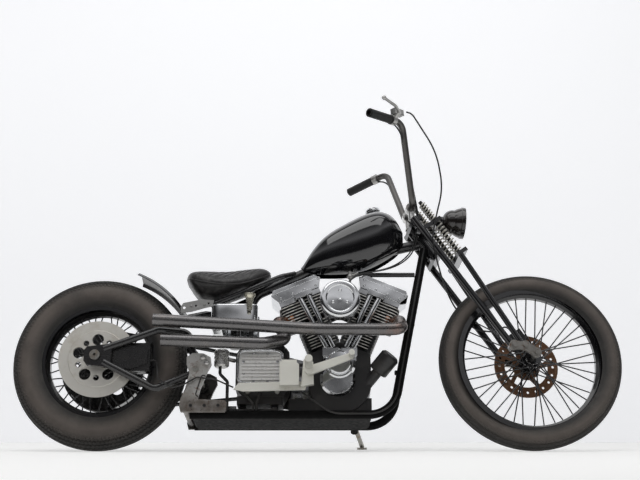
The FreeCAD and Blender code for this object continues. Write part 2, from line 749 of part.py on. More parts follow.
def bar_ahead(side):
    """The level direction square to a grip that points ahead."""
    inward = bar_end_axis(side) * -1
    ahead = Vector(-inward.y, inward.x, 0).normalize()
    return ahead if ahead.x > 0 else ahead * -1


def lever_pivot(side):
    inward = bar_end_axis(side) * -1
    return bar_tip(side) + inward * (S.grip_length + 16) + bar_ahead(side) * 38 + Z * 20


def handlebar():
    left = [grip_end, top_bend, low_bend]
    points = [Vector(p.x, -p.y, p.z) for p in left] + list(reversed(left))
    solid = tube_shape(points, S.bar_radius, 48)
    for side in (RIGHT, LEFT):
        tip = bar_tip(side)
        inward = bar_end_axis(side) * -1
        solid = solid.cut(Part.makeCylinder(S.bar_bore_radius, 90, tip - inward, inward))
    bar = feature("bar_tube", solid)
    finish(bar, "handlebar", "steering")

    risers = []
    for word, side in SIDES:
        clamp = cylinder("bar_clamp_" + word, "bar_radius + 9", "30", Vector(low_bend.x, side * 42 - 15, low_bend.z), Y)
        hole = cylinder("bar_clamp_hole_" + word, "bar_radius", "40", Vector(low_bend.x, side * 42 - 20, low_bend.z), Y)
        seat_w = S.head_half + 22 + S.fit_gap
        foot = fork_point(6, side * 42, seat_w + 8)
        base = cylinder("riser_foot_" + word, "17", "10", fork_point(6, side * 42, seat_w), head_axis)
        top = Vector(low_bend.x, side * 42, low_bend.z)
        post = rod("riser_post_" + word, foot, top - (top - foot).normalize() * (S.bar_radius + 2), "13")
        risers.append(cut("riser_" + word, fuse("riser_body_" + word, [clamp, post, base]), hole))
    finish(group("riser_pair", risers), "handlebar_risers", "steering")

    grips = []
    for word, side in SIDES:
        tip = bar_tip(side)
        inward = bar_end_axis(side) * -1
        sleeve = cylinder("grip_sleeve_" + word, "grip_radius", "grip_length", tip + inward * 3, inward)
        hole = cylinder("grip_hole_" + word, "bar_radius + fit_gap", "grip_length + 20", tip - inward * 5, inward)
        grips.append(cut("grip_" + word, sleeve, hole))
    finish(group("grip_pair", grips), "grips", "steering")

    levers = []
    for word, side in SIDES:
        tip = bar_tip(side)
        inward = bar_end_axis(side) * -1
        ahead = bar_ahead(side)
        lift = Z
        clamp_at = tip + inward * (S.grip_length + 8)
        clamp = cylinder("lever_clamp_" + word, "bar_radius + 7", "22", clamp_at, inward)
        hole = cylinder("lever_clamp_hole_" + word, "bar_radius + fit_gap", "30", clamp_at - inward * 4, inward)
        pivot = lever_pivot(side)
        arm = rod("lever_perch_" + word, clamp_at + inward * 11 + ahead * 16 + lift * 8, pivot, "9")
        reach = [pivot - inward * 2, pivot - inward * 40 + ahead * 16 + lift * 10,
                 tip + inward * 18 + ahead * 62 + lift * 44]
        blade = tube("lever_blade_" + word, reach, 6, 60)
        ball = doc.addObject("Part::Sphere", "lever_ball_" + word)
        ball.Radius = 9
        ball.Placement = at(reach[-1])
        pieces = [clamp, arm, blade, ball]
        if side < 0:
            pieces.append(box("master_cylinder", "52", "24", "24", pivot + Vector(-14, 2, -4),
                              Rotation(inward, ahead, lift, "XZY")))
        levers.append(cut("lever_set_" + word, fuse("lever_body_" + word, pieces), hole))
    finish(group("lever_pair", levers), "hand_levers", "steering")


def headlamp():
    """The lamp bowl, turned about its own axis, and the lens that closes it."""
    bowl = turned("headlamp_bowl", (
        ("0", "0"),
        ("22", "0", "40"),
        ("headlamp_radius - 14", "headlamp_depth * 0.5", "90"),
        ("headlamp_radius - 3", "headlamp_depth - 16"),
        ("headlamp_radius", "headlamp_depth - 14"),
        ("headlamp_radius", "headlamp_depth"),
        ("headlamp_radius - 5", "headlamp_depth"),
        ("headlamp_radius - 5", "headlamp_depth - 13"),
        ("0", "headlamp_depth - 13"),
    ))
    lens = turned("headlamp_lens_body", (
        ("0", "headlamp_depth - 12"),
        ("headlamp_radius - 5 - fit_gap", "headlamp_depth - 12"),
        ("headlamp_radius - 5 - fit_gap", "headlamp_depth - 2",
         "((headlamp_radius - 5 - fit_gap) ^ 2 + 10 ^ 2) / 20"),
        ("0", "headlamp_depth + 8"),
    ))
    aim = Rotation(Y, Vector(1, 0, -0.06))
    place = Placement(Vector(504, 0, 916), aim)
    finish(lens, "headlamp_lens", "steering", place)
    finish(bowl, "headlamp", "steering", place)
    face = S.spring_u + S.perch_reach + S.fit_gap
    lamp_axis = aim.multVec(Y)
    bracket = [rod("lamp_stay", fork_point(face + 4, 0, 34), place.Base - lamp_axis * 8, "7"),
               rod("lamp_pad", place.Base - lamp_axis * 10, place.Base - lamp_axis * S.fit_gap, "20")]
    finish(fuse("lamp_stay_item", bracket + [across_fork("lamp_stay_foot", face, face + 6, 24, 40, 20)]),
           "headlamp_bracket", "steering")


def front_caliper():
    """The caliper over the top of the disc, on a carrier plate that sits round the axle spacer."""
    rotation = Rotation(head_forward, Y, head_axis, "XYZ")
    low = axle_w + 82
    inner = S.front_disc_side - 22
    wall = 3.6
    plate_side = S.front_disc_side + S.front_disc_wall + 2.7
    block = box("front_caliper_block", "56", "50", "52", fork_point(62, inner, low), rotation)
    spots = ((-14, -12), (10, -24), (58, 6), (66, 86), (30, 100), (6, 86), (-16, 20))
    corners = [fork_point(S.fork_offset + ahead, 0, axle_w + up) for ahead, up in spots]
    carrier = plate("front_caliper_carrier", [("%.3f" % spot.x, "%.3f" % spot.z) for spot in corners],
                    "%.3f" % plate_side, "%.1f" % wall, (("%.3f" % front_axle.x, "%.3f" % front_axle.z, "12.3"),))
    slot = box("front_caliper_slot", "120", "front_disc_wall + 5", "%.3f" % (S.front_disc_radius + 6 - 60),
               fork_point(40, S.front_disc_side - 2.5, axle_w + 60), rotation)
    finish(cut("front_caliper_item", fuse("front_caliper_body", [block, carrier]), slot), "front_caliper", "steering")


# Frame

downtube_points = [Vector(424, 20, 786), Vector(318, 99, 262), Vector(290, S.rail_side, S.rail_height),
                   Vector(S.rail_rear_x, S.rail_side, S.rail_height)]
rail_bend = 110
spine_points = [Vector(412, 0, S.head_z), Vector(20, 0, crown_z + 56.7), Vector(-226, 0, crown_z - 59.3),
                Vector(-304, 0, 470), Vector(-304, 0, 392)]
rail_points = [Vector(-80, 10, crown_z + 22.7), Vector(-130, 62, crown_z - 5.3), Vector(-372, 66, 556),
               Vector(-478, 66, 536)]
seat_post_top = Vector(-210, 0, crown_z)


def spine_at(place_x):
    """The point of the backbone's straight front run at a place along the machine."""
    front, rear = spine_points[0], spine_points[1]
    return rear + (front - rear) * ((place_x - rear.x) / (front.x - rear.x))


def frame_tubes():
    neck = cylinder("neck_outer", "head_radius", "2 * head_half", fork_point(0, 0, -S.head_half), head_axis)
    bore = cylinder("neck_bore", "stem_radius + bearing_gap", "4 * head_half", fork_point(0, 0, -2 * S.head_half), head_axis)
    pieces = [neck, tube("spine", spine_points, S.backbone_radius, 60)]
    for word, side in SIDES:
        pieces.append(tube("seat_rail_" + word, mirror_points(rail_points, side), S.seat_rail_radius, 40))
    tunnel = S.backbone_radius + S.tank_wall_gap - S.fit_gap
    for place_x in (300, 60):
        middle = spine_at(place_x) - Z * 8
        pieces.append(cylinder("tank_pin", "9", str(2 * tunnel), middle - Y * tunnel, Y))
    pieces.append(rod("seat_post", seat_post_top - Z * 50, seat_post_top, "10"))
    finish(cut("backbone_item", fuse("backbone_body", pieces), bore), "frame_backbone", "frame")

    pieces = []
    for word, side in SIDES:
        pieces.append(tube("cradle_tube_" + word, mirror_points(downtube_points, side), S.rail_radius, rail_bend))
    for place_x in (196, -60, -150, -270, S.rail_rear_x + 16):
        pieces.append(cylinder("cradle_cross", "cross_tube_radius", "2 * rail_side",
                               Vector(place_x, -S.rail_side, S.rail_height), Y))
    pieces.append(cylinder("cradle_top_cross", "cross_tube_radius", "134", Vector(366, -67, 470), Y))
    pieces.append(box("skid_plate", str(196 - S.rail_rear_x - 16), "2 * rail_side - 8", "4.5",
                      Vector(S.rail_rear_x + 16, -S.rail_side + 4, S.rail_height - S.cross_tube_radius - 4)))
    pieces.append(box("downtube_bracket", "30", "26", "12", Vector(296, -107, 270)))
    pieces.append(rod("stand_lug", Vector(stand_pivot.x, S.rail_side, S.rail_height), stand_pivot - Vector(0, 15, 27), "12"))
    eye_reach = S.stand_eye_half + S.fit_gap
    pieces += [
        rod("stand_pin", stand_pivot - fold_axis * 40, stand_pivot + fold_axis * (eye_reach + 2), "stand_pin_radius"),
        rod("stand_collar", stand_pivot - fold_axis * 38, stand_pivot - fold_axis * eye_reach, "14"),
        rod("stand_cap", stand_pivot + fold_axis * eye_reach, stand_pivot + fold_axis * (eye_reach + 6), "13"),
    ]
    body_item = fuse("cradle_body", pieces)
    relief = cylinder("cradle_relief", "head_radius + fit_gap", "4 * head_half", fork_point(0, 0, -2 * S.head_half),
                      head_axis)
    finish(cut("cradle_item", body_item, relief), "frame_cradle", "frame")


def rear_castings():
    """The cast side plates behind the engine, each with a shallow panel, joined by two cross tubes."""
    corners = ((-488, 114), (-328, 114), (-322, 120), (-322, 150), (-330, 157), (-428, 160), (-418, 200),
               (-396, 258), (-380, 290), (-384, 318), (-410, 332), (-450, 334), (-472, 318), (-471, 290),
               (-460, 258), (-474, 200), (-490, 160), (-494, 136))
    items = []
    for word, side in SIDES:
        start = "casting_side" if side > 0 else "-1 * (casting_side + casting_wall)"
        casting = plate("rear_casting_" + word, [(str(x), str(z)) for x, z in corners], start, "casting_wall",
                        (("swing_pivot_x", "swing_pivot_z", "11"),))
        outer = side * (S.casting_side + S.casting_wall)
        panel = box("casting_panel_" + word, "66", "10", "24", Vector(-457, outer - 5, 176), Rotation(Y, -68))
        items.append(cut("casting_open_" + word, casting, panel))
    items.append(cylinder("casting_cross", "14", "2 * casting_side", Vector(S.rail_rear_x - 14.4, -S.casting_side, 136), Y))
    items.append(cylinder("casting_cross_front", "14", "2 * casting_side", Vector(-450, -S.casting_side, 184), Y))
    finish(fuse("casting_item", items), "frame_rear_castings", "frame")


def swingarm():
    pieces = []
    for word, side in SIDES:
        upper = [Vector(rear_axle.x + 30, S.swing_side, rear_axle.z + 26), Vector(-582, S.swing_side, 431),
                 Vector(-470, S.swing_side, 420), Vector(S.swing_pivot_x, S.swing_side, S.swing_pivot_z)]
        lower = [Vector(rear_axle.x + 30, S.swing_side, rear_axle.z - 24), Vector(-589, S.swing_side, 206),
                 Vector(S.swing_pivot_x, S.swing_side, S.swing_pivot_z - 4)]
        pieces.append(tube("swing_upper_" + word, mirror_points(upper, side), S.swing_tube_radius, 36))
        pieces.append(tube("swing_lower_" + word, mirror_points(lower, side), S.swing_tube_radius, 36))
        start = "swing_side - 9" if side > 0 else "-1 * (swing_side + 9)"
        corners = ((rear_axle.x - 42, rear_axle.z - 20), (rear_axle.x - 30, rear_axle.z - 36),
                   (rear_axle.x + 58, rear_axle.z - 46), (rear_axle.x + 62, rear_axle.z + 44),
                   (rear_axle.x - 30, rear_axle.z + 34), (rear_axle.x - 42, rear_axle.z + 20))
        pieces.append(plate("swing_plate_" + word, [("%.3f" % x, "%.3f" % z) for x, z in corners], start, "18",
                            (("%.3f" % rear_axle.x, "%.3f" % rear_axle.z, "rear_axle_radius"),)))
        pieces.append(cylinder("swing_eye_" + word, "22", "24",
                               Vector(S.swing_pivot_x, side * S.swing_side - 12, S.swing_pivot_z), Y))
    pieces.append(cylinder("swing_cross", "swing_cross_radius", "2 * swing_side",
                           Vector(S.swing_cross_x, -S.swing_side, S.swing_cross_z), Y))
    arm = fuse("swing_body", pieces)
    shaft = cylinder("swing_pivot_hole", "11", "400", Vector(S.swing_pivot_x, -200, S.swing_pivot_z), Y)
    finish(cut("swing_item", arm, shaft), "swingarm", "frame")
    reach = S.casting_side + S.casting_wall
    pin = cylinder("swing_pin", "11", str(2 * reach + 12), Vector(S.swing_pivot_x, -reach - 6, S.swing_pivot_z), Y)
    finish(pin, "swing_pivot_pin", "frame", pin.Placement)
    outer = S.swing_side + 9
    axle = cylinder("rear_axle_rod", "rear_axle_radius", str(2 * outer + 30),
                    Vector(rear_axle.x, -outer - 15, rear_axle.z), Y)
    items = [axle]
    for word, side in SIDES:
        near = outer if side > 0 else -outer - 11
        items.append(cylinder("rear_axle_nut_" + word, "19", "11", Vector(rear_axle.x, near, rear_axle.z), Y))
        spacer = S.rear_hub_half + S.rear_disc_wall + S.rear_disc_step + 1.0
        if side > 0:
            spacer = S.rear_hub_half + S.pulley_width + 1.0
        inner = S.swing_side - 9
        start = spacer if side > 0 else -inner
        items.append(cylinder("rear_axle_spacer_" + word, "axle_spacer_radius", str(inner - spacer),
                              Vector(rear_axle.x, start, rear_axle.z), Y))
    bore = cylinder("rear_axle_bore", "rear_axle_bore_radius", "500", Vector(rear_axle.x, -250, rear_axle.z), Y)
    finish(cut("rear_axle_item", fuse("rear_axle_body", items), bore), "rear_axle", "frame")


def shock_absorbers():
    """Two dampers that lie under the gearbox, from the cross tube of the castings to one of the cradle."""
    items = []
    eye_z = S.rail_height + S.cross_tube_radius + 13 + S.fit_gap
    for word, side in SIDES:
        rear_end = Vector(S.rail_rear_x - 0.1, side * 58, 142)
        front_end = Vector(-150, side * 58, eye_z)
        along = (front_end - rear_end).normalize()
        items.append(fuse("shock_" + word, [
            rod("shock_rod_" + word, rear_end, front_end, "7"),
            rod("shock_can_" + word, rear_end + along * 42, rear_end + along * 168, "17"),
            cylinder("shock_eye_" + word, "13", "22", Vector(-150, side * 58 - 11, eye_z), Y)]))
    finish(group("shock_pair", items), "shock_absorbers", "frame")


# Engine

def bank_placement(sign, along):
    """The frame of a cylinder, sign 1 for the front one, moved up its own axis."""
    axis = Rotation(Y, sign * S.bank_angle)
    return Placement(crank + axis.multVec(Z) * along, axis)


def finned(name, half_length, half_width, core, length, count, inner_pitch):
    """A finned block: a round core under a row of rounded fins, standing on its XY plane."""
    item = body(name)
    sketch = sketch_on(item, "XY_Plane")
    circle(sketch, "0", "0", core)
    pad(item, sketch, length)
    fin = sketch_on(item, "XY_Plane", inner_pitch)
    corner = "22"
    rounded_box(fin, half_length, half_width, corner)
    first = pad(item, fin, "fin_wall")
    row_of(item, first, "Z_Axis", "fin_pitch", count)
    return item


def rounded_box(sketch, half_x, half_y, corner):
    x, y, r = ("(%s)" % value for value in (half_x, half_y, corner))
    outline(sketch, (
        ("-1 * (%s - %s)" % (x, r), "-1 * " + y),
        ("%s - %s" % (x, r), "-1 * " + y, r),
        (x, "-1 * (%s - %s)" % (y, r)),
        (x, "%s - %s" % (y, r), r),
        ("%s - %s" % (x, r), y),
        ("-1 * (%s - %s)" % (x, r), y, r),
        ("-1 * " + x, "%s - %s" % (y, r)),
        ("-1 * " + x, "-1 * (%s - %s)" % (y, r), r),
    ))


def engine():
    deck = S.deck_height
    sine = math.sin(math.radians(S.bank_angle))
    cosine = math.cos(math.radians(S.bank_angle))
    half_deck = 66
    outer_x = deck * sine + half_deck * cosine
    outer_z = deck * cosine - half_deck * sine
    valley = deck / cosine
    case = body("crankcase_body")
    sketch = sketch_on(case, "XZ_Plane", "-1 * crankcase_half")
    outline(sketch, (
        ("crank_x + %.4f" % outer_x, "crank_z + %.4f" % outer_z),
        ("crank_x", "crank_z + %.4f" % valley),
        ("crank_x - %.4f" % outer_x, "crank_z + %.4f" % outer_z),
        ("crank_x - crankcase_radius", "crank_z", "crankcase_radius"),
        ("crank_x", "crank_z - crankcase_radius", "crankcase_radius"),
        ("crank_x + crankcase_radius", "crank_z"),
    ))
    pad(case, sketch, "2 * crankcase_half")
    cross_top = S.rail_height + S.cross_tube_radius
    lug_height = str(S.crank_z - 60 - cross_top)
    pieces = [case]
    for place_x in (196, -60):
        pieces.append(box("case_lug", "30", "120", lug_height, Vector(place_x - 15, -60, cross_top)))
    pieces.append(box("case_sump", "190", "132", "84", Vector(0, -66, cross_top + 4)))
    pieces.append(box("case_sole", "100", "120", "54", Vector(-98, -60, cross_top + 4)))
    pieces.append(rod("filter_mount", filter_base - filter_axis * 70, filter_base - filter_axis * S.fit_gap, "20"))
    finish(fuse("crankcase_item", pieces), "crankcase", "frame")

    barrels = []
    heads = []
    covers = []
    for word, sign in (("front", 1), ("rear", -1)):
        barrel = finned("barrel_" + word, "fin_half_length", "fin_half_width", "barrel_radius",
                        "barrel_length", 9, "14")
        barrel.Placement = bank_placement(sign, S.deck_height)
        barrels.append(barrel)
        cylinder_head = finned("head_" + word, "fin_half_length + 3", "fin_half_width + 4", "barrel_radius + 6",
                               "head_length", 6, "10")
        cylinder_head.Placement = bank_placement(sign, head_base)
        heads.append(cylinder_head)
        covers.append(rocker_cover(word, sign))
    finish(group("barrel_pair", barrels), "cylinders", "frame")
    finish(group("head_pair", heads), "cylinder_heads", "frame")
    finish(group("cover_pair", covers), "rocker_covers", "frame")


def rocker_cover(word, sign):
    """A rocker cover in three steps seen from the side: a foot, a flared middle and a bevelled top."""
    place = bank_placement(sign, cover_base)
    shift = "%d * cover_shift" % sign
    tiers = (
        ("foot", (("cover_foot_half", "0"), ("cover_foot_half", "20")), "cover_half_width - 5"),
        ("middle", (("cover_foot_half", "20"), ("cover_half_length", "52"), ("cover_half_length", "58")),
         "cover_half_width"),
        ("top", (("cover_half_length - 3", "58"), ("cover_top_half", "rocker_cover_length")),
         "cover_half_width - 7"),
    )
    pieces = []
    for tier, right_edge, half_width in tiers:
        corners = [("%s + %s" % (shift, across), up) for across, up in right_edge]
        corners += [("%s - (%s)" % (shift, across), up) for across, up in reversed(right_edge)]
        pieces.append(plate("cover_%s_%s" % (tier, word), corners, "-1 * (%s)" % half_width,
                            "2 * (%s)" % half_width))
    ledge = box("pushrod_ledge_" + word, "68", str(pushrod_side + 14 - 60), "20", Vector(-34, -pushrod_side - 14, 0))
    item = fuse("rocker_cover_" + word, pieces + [ledge])
    item.Placement = place
    return item


pushrod_side = 92


def air_cleaner():
    dome = turned("air_cleaner_body", (
        ("0", "0"),
        ("air_cleaner_radius - 4", "0"),
        ("air_cleaner_radius", "4"),
        ("air_cleaner_radius", "air_cleaner_depth - 14", "14"),
        ("air_cleaner_radius - 14", "air_cleaner_depth"),
        ("air_cleaner_radius - 22", "air_cleaner_depth"),
        ("air_cleaner_radius - 26", "air_cleaner_depth - 4"),
        ("0", "air_cleaner_depth - 2"),
    ))
    middle = Vector(S.crank_x, 0, S.crank_z + (head_base + 42) * math.cos(bank))
    finish(dome, "air_cleaner", "frame",
           Placement(middle - Y * S.air_cleaner_side, Rotation(X, 180)))
    pieces = [
        cylinder("carb_throat", "24", str(S.air_cleaner_side - 84), middle - Y * S.air_cleaner_side, Y),
        cylinder("carb_bowl", "26", "48", middle + Vector(0, -126, -48), Z),
        cylinder("carb_manifold", "18", "96", middle - Y * 90, Y),
    ]
    for sign in (1, -1):
        port = Rotation(Y, sign * S.bank_angle).multVec(X) * sign
        apart = (middle.z - S.crank_z) * math.sin(bank) - S.fin_half_length - 3 - S.fit_gap
        pieces.append(rod("carb_branch", middle, middle + port * apart, "17"))
    finish(fuse("carb_item", pieces), "carburettor", "frame")


def pushrods():
    """Two tubes to each cylinder, from the lifter block up to the ledge of the rocker cover."""
    tubes = []
    for sign in (1, -1):
        place = bank_placement(sign, cover_base)
        for index, ahead in enumerate((-17, 17)):
            outer = index if sign > 0 else 1 - index
            foot = crank + Vector(sign * (24 + 26 * outer), -pushrod_side, S.lifter_top + 4.5)
            top = place.multVec(Vector(ahead, -pushrod_side, -1.2))
            tubes.append(rod("pushrod_tube", foot, top, "pushrod_radius"))
    finish(group("pushrod_set", tubes), "pushrod_tubes", "frame")


def cam_cover():
    """The cover over the cams, the round cover below it and the lifter blocks above it."""
    outer = turned("cam_dome", (
        ("0", "0"),
        ("cam_cover_radius", "0"),
        ("cam_cover_radius", "26"),
        ("cam_cover_radius - 10", "34"),
        ("46", "34"),
        ("44", "44"),
        ("40", "48"),
        ("0", "49"),
    ))
    outer.Placement = Placement(Vector(91, -S.crankcase_half, 311), Rotation(X, 180))
    lower = turned("cam_lower", (
        ("0", "0"),
        ("66", "0"),
        ("66", "20"),
        ("56", "30"),
        ("0", "30"),
    ))
    lower.Placement = Placement(Vector(84, -S.crankcase_half, 252), Rotation(X, 180))
    block_base = S.crank_z + S.lifter_top - 32
    pieces = [outer, lower]
    for near in (28, 98):
        pieces.append(box("lifter_block", "60", "34", "32", Vector(near, -S.crankcase_half - 34, block_base)))
    pieces.append(box("lifter_web", "124", "26", "40", Vector(31, -S.crankcase_half - 26, block_base - 16)))
    pieces.append(cylinder("lifter_plug", "10", "38", Vector(92, -S.crankcase_half - 38, block_base + 12), Y))
    finish(fuse("cam_item", pieces), "cam_cover", "frame")


def gearbox():
    case = body("gearbox_body")
    sketch = sketch_on(case, "XZ_Plane", "-78")
    outline(sketch, (
        ("-118", "190"), ("-96", "230"), ("-96", "360"), ("-120", "388"), ("-270", "388"),
        ("-296", "350"), ("-296", "220"), ("-270", "190"),
    ))
    pad(case, sketch, "156")
    lugs = [box("gearbox_lug", "26", "60", "192 - rail_height - cross_tube_radius",
                Vector(place_x - 13, -30, S.rail_height + S.cross_tube_radius)) for place_x in (-150, -270)]
    lugs.append(box("gearbox_sole", "170", "150", "30", Vector(-290, -75, 162)))
    pulley = cylinder("drive_pulley", "drive_pulley_radius", "pulley_width", clutch + Y * 80, Y)
    shaft = cylinder("drive_shaft", "24", "8", clutch + Y * 74, Y)
    lugs += [cylinder("oil_tank_post", "8", "oil_tank_low - 386 - fit_gap", Vector(-240, side * 71, 386), Z)
             for side in (RIGHT, LEFT)]
    finish(fuse("gearbox_item", [case, pulley, shaft] + lugs), "gearbox", "frame")

    cover = body("gearbox_cover_body")
    face = sketch_on(cover, "XZ_Plane", "78")
    outline(face, (
        ("-262", "226"), ("-142", "226", "26"), ("-116", "252"), ("-116", "330", "26"),
        ("-142", "356"), ("-262", "356", "26"), ("-288", "330"), ("-288", "252", "26"),
    ))
    pad(cover, face, "46")
    rib = sketch_on(cover, "XZ_Plane", "78 + 46")
    outline(rib, (("-272", "240"), ("-132", "240"), ("-132", "246"), ("-272", "246")))
    first = pad(cover, rib, "8")
    row_of(cover, first, "Z_Axis", "13", 8)
    finish(cover, "gearbox_cover", "frame")


def primary():
    near = S.crank_x
    cover = body("primary_body")
    sketch = sketch_on(cover, "XZ_Plane", "-1 * (primary_side + primary_depth)")
    outline(sketch, (
        ("crank_x", "crank_z - 92", "92"), ("crank_x + 92", "crank_z", "92"), ("crank_x", "crank_z + 92"),
        ("clutch_x", "clutch_z + 108", "108"), ("clutch_x - 108", "clutch_z", "108"),
        ("clutch_x", "clutch_z - 108"),
    ))
    pad(cover, sketch, "primary_depth")
    boss = cylinder("primary_boss", "80", str(S.primary_side - S.crankcase_half),
                    Vector(near, S.crankcase_half, S.crank_z), Y)
    derby = cylinder("derby_cover", "62", "8", Vector(S.clutch_x, S.primary_side + S.primary_depth, S.clutch_z), Y)
    finish(fuse("primary_item", [cover, boss, derby]), "primary_cover", "frame")


def belt():
    """The belt: the outside of the two pulleys and the tangents between them."""
    outer = belt_loop(S.belt_gap + S.belt_wall)
    inner = belt_loop(S.belt_gap)
    ring = Part.Face(outer).cut(Part.Face(inner))
    solid = ring.extrude(Y * S.belt_width)
    start = S.rear_hub_half + (S.pulley_width - S.belt_width) / 2
    item = feature("belt_loop", solid.Solids[0])
    finish(item, "drive_belt", "frame", at(Y * start))


def belt_loop(gap):
    large = S.pulley_radius + gap
    small = S.drive_pulley_radius + gap
    rear = Vector(rear_axle.x, 0, rear_axle.z)
    line = clutch - rear
    heading = math.atan2(line.z, line.x)
    spread = math.acos((large - small) / line.Length)
    up = heading + spread
    down = heading - spread

    def on(centre, radius, angle):
        return centre + Vector(radius * math.cos(angle), 0, radius * math.sin(angle))

    back = heading + math.pi
    edges = [
        Part.LineSegment(on(rear, large, up), on(clutch, small, up)).toShape(),
        Part.Arc(on(clutch, small, up), on(clutch, small, heading), on(clutch, small, down)).toShape(),
        Part.LineSegment(on(clutch, small, down), on(rear, large, down)).toShape(),
        Part.Arc(on(rear, large, down), on(rear, large, back), on(rear, large, up)).toShape(),
    ]
    return Part.Wire(edges)


def exhausts():
    """Two pipes on the right, each from a flange on its cylinder head to an open end."""
    side = -S.pipe_side
    port_reach = S.fin_half_length + 3 + S.fit_gap
    flange = 12
    for word, sign, ahead, onward in (
        ("front", 1, 1, [Vector(318, -112, 470), Vector(322, side, 418), Vector(250, side, 416),
                         Vector(0, side, 417), Vector(-598, side, 453)]),
        ("rear", -1, -1, [Vector(-152, -104, 470), Vector(-98, -128, 398), Vector(-190, side, 362),
                          Vector(-566, side, 376)]),
    ):
        place = bank_placement(sign, head_base)
        port = place.multVec(Vector(ahead * port_reach, -46, 30))
        outward = place.Rotation.multVec(X) * ahead
        points = [port + outward * 4, port + outward * 30 - Y * 4] + onward
        solid = tube_shape(points, S.pipe_radius, 34)
        tip = points[-1]
        inward = (points[-2] - tip).normalize()
        bore = Part.makeCylinder(S.pipe_radius - S.pipe_wall, 160, tip - inward, inward)
        ring = Part.makeCylinder(S.pipe_radius + 8, flange, port, outward)
        finish(feature("exhaust_%s_tube" % word, solid.cut(bore).fuse(ring)), "exhaust_" + word, "frame")


filter_axis = Vector(54, -30, 60).normalize()
filter_base = Vector(206, -61, 254) + filter_axis * 43.5


def oil_filter():
    item = turned("oil_filter_body", (
        ("0", "0"),
        ("oil_filter_radius - 4", "0"),
        ("oil_filter_radius", "4"),
        ("oil_filter_radius", "74"),
        ("oil_filter_radius - 8", "82"),
        ("0", "82"),
    ))
    finish(item, "oil_filter", "frame", Placement(filter_base, Rotation(Y, filter_axis)))


def oil_tank():
    item = body("oil_tank_body")
    sketch = sketch_on(item, "XY_Plane", "oil_tank_low")
    outline(sketch, (
        ("-394", "-104"), ("-216", "-104"), ("-216", "-64"), ("-352", "-64"), ("-352", "64"),
        ("-216", "64"), ("-216", "104"), ("-394", "104"),
    ))
    pad(item, sketch, "84")
    finish(item, "oil_tank", "frame")


# Tank, seat and fender

def rounded_section(place_x, low, high, half, power):
    """A closed rounded section: a superellipse with the given power, in the plane X = place_x."""
    points = []
    middle = (low + high) / 2
    rise = (high - low) / 2
    for step in range(24):
        turn = 2 * math.pi * step / 24
        across = math.copysign(abs(math.cos(turn)) ** (2 / power), math.cos(turn))
        up = math.copysign(abs(math.sin(turn)) ** (2 / power), math.sin(turn))
        points.append(Vector(place_x, half * across, middle + rise * up))
    curve = Part.BSplineCurve()
    curve.interpolate(points, PeriodicFlag=True)
    return Part.Wire(curve.toShape())


def loft(name, stations, power):
    wires = [rounded_section(*station, power) for station in stations]
    return Part.makeLoft(wires, True, False)


def fuel_tank():
    stations = (
        (-56, 23, 49, 12), (-30, 17, 87, 44), (27, 13, 162, 78), (110, 15, 219, 102),
        (190, 29, 259, 112), (258, 61, 273, 103), (310, 95, 249, 66), (342, 128, 194, 30),
    )
    solid = loft("tank", [(x, crown_z + low, crown_z + high, half) for x, low, high, half in stations], 2.5)
    nose = spine_points[0] + (spine_points[0] - spine_points[1]).normalize() * 60
    tunnel = tube_shape([nose] + spine_points[1:3], S.backbone_radius + S.tank_wall_gap, 60)
    below = Part.makeBox(420, 2 * (S.backbone_radius + S.tank_wall_gap), 100,
                         Vector(-60, -S.backbone_radius - S.tank_wall_gap, 0))
    slope = math.degrees(math.atan2(spine_points[0].z - spine_points[1].z, spine_points[0].x - spine_points[1].x))
    below.Placement = Placement(Vector(0, 0, spine_at(0).z - 107), Rotation(Y, -slope)).multiply(below.Placement)
    shell = max(solid.cut(tunnel).cut(below).Solids, key=lambda piece: piece.Volume)
    tap = Vector(134, -62, 0)
    tap.z = shell.common(Part.makeCylinder(8, 400, tap + Z * 500)).BoundBox.ZMin - S.fit_gap
    finish(feature("tank_shell", shell), "fuel_tank", "frame")
    cap = turned("cap_body", (("0", "0"), ("27", "0"), ("30", "4"), ("30", "12"), ("26", "18"), ("0", "20")))
    finish(cap, "fuel_cap", "frame", Placement(Vector(228, 0, crown_z + 276.7), Rotation(Y, Vector(-0.24, 0, 1))))
    return tap


def fuel_tap(top):
    """The tap under the tank: a threaded neck, a round body and its lever."""
    bulb = doc.addObject("Part::Sphere", "tap_bulb")
    bulb.Radius = 12
    middle = top - Z * 20
    bulb.Placement = at(middle)
    finish(fuse("fuel_tap_item", [
        bulb,
        cylinder("tap_neck", "8", "14", top - Z * 14),
        cylinder("tap_outlet", "4.5", "16", top - Z * 40),
        rod("tap_lever", middle - Y * 8, middle + Vector(31, -18, 9), "3.5"),
    ]), "fuel_tap", "frame")


def engine_brace():
    """The stay from the front rocker cover to the right front tube of the cradle."""
    foot = bank_placement(1, cover_base)
    level = 677
    share = (downtube_points[0].z - level) / (downtube_points[0].z - downtube_points[1].z)
    tube_spot = downtube_points[0] + (downtube_points[1] - downtube_points[0]) * share
    side = -tube_spot.y - 1
    start = Vector(192, side, level)
    stop = Vector(tube_spot.x - S.rail_radius - 2.8, side, level)
    base = Vector(-50, side, S.rocker_cover_length + S.fit_gap)
    post = rod("brace_post", foot.multVec(base), foot.multVec(base + Z * 17), "8")
    finish(fuse("engine_brace_item", [rod("brace_rod", start, stop, "9"), post]), "engine_brace", "frame")


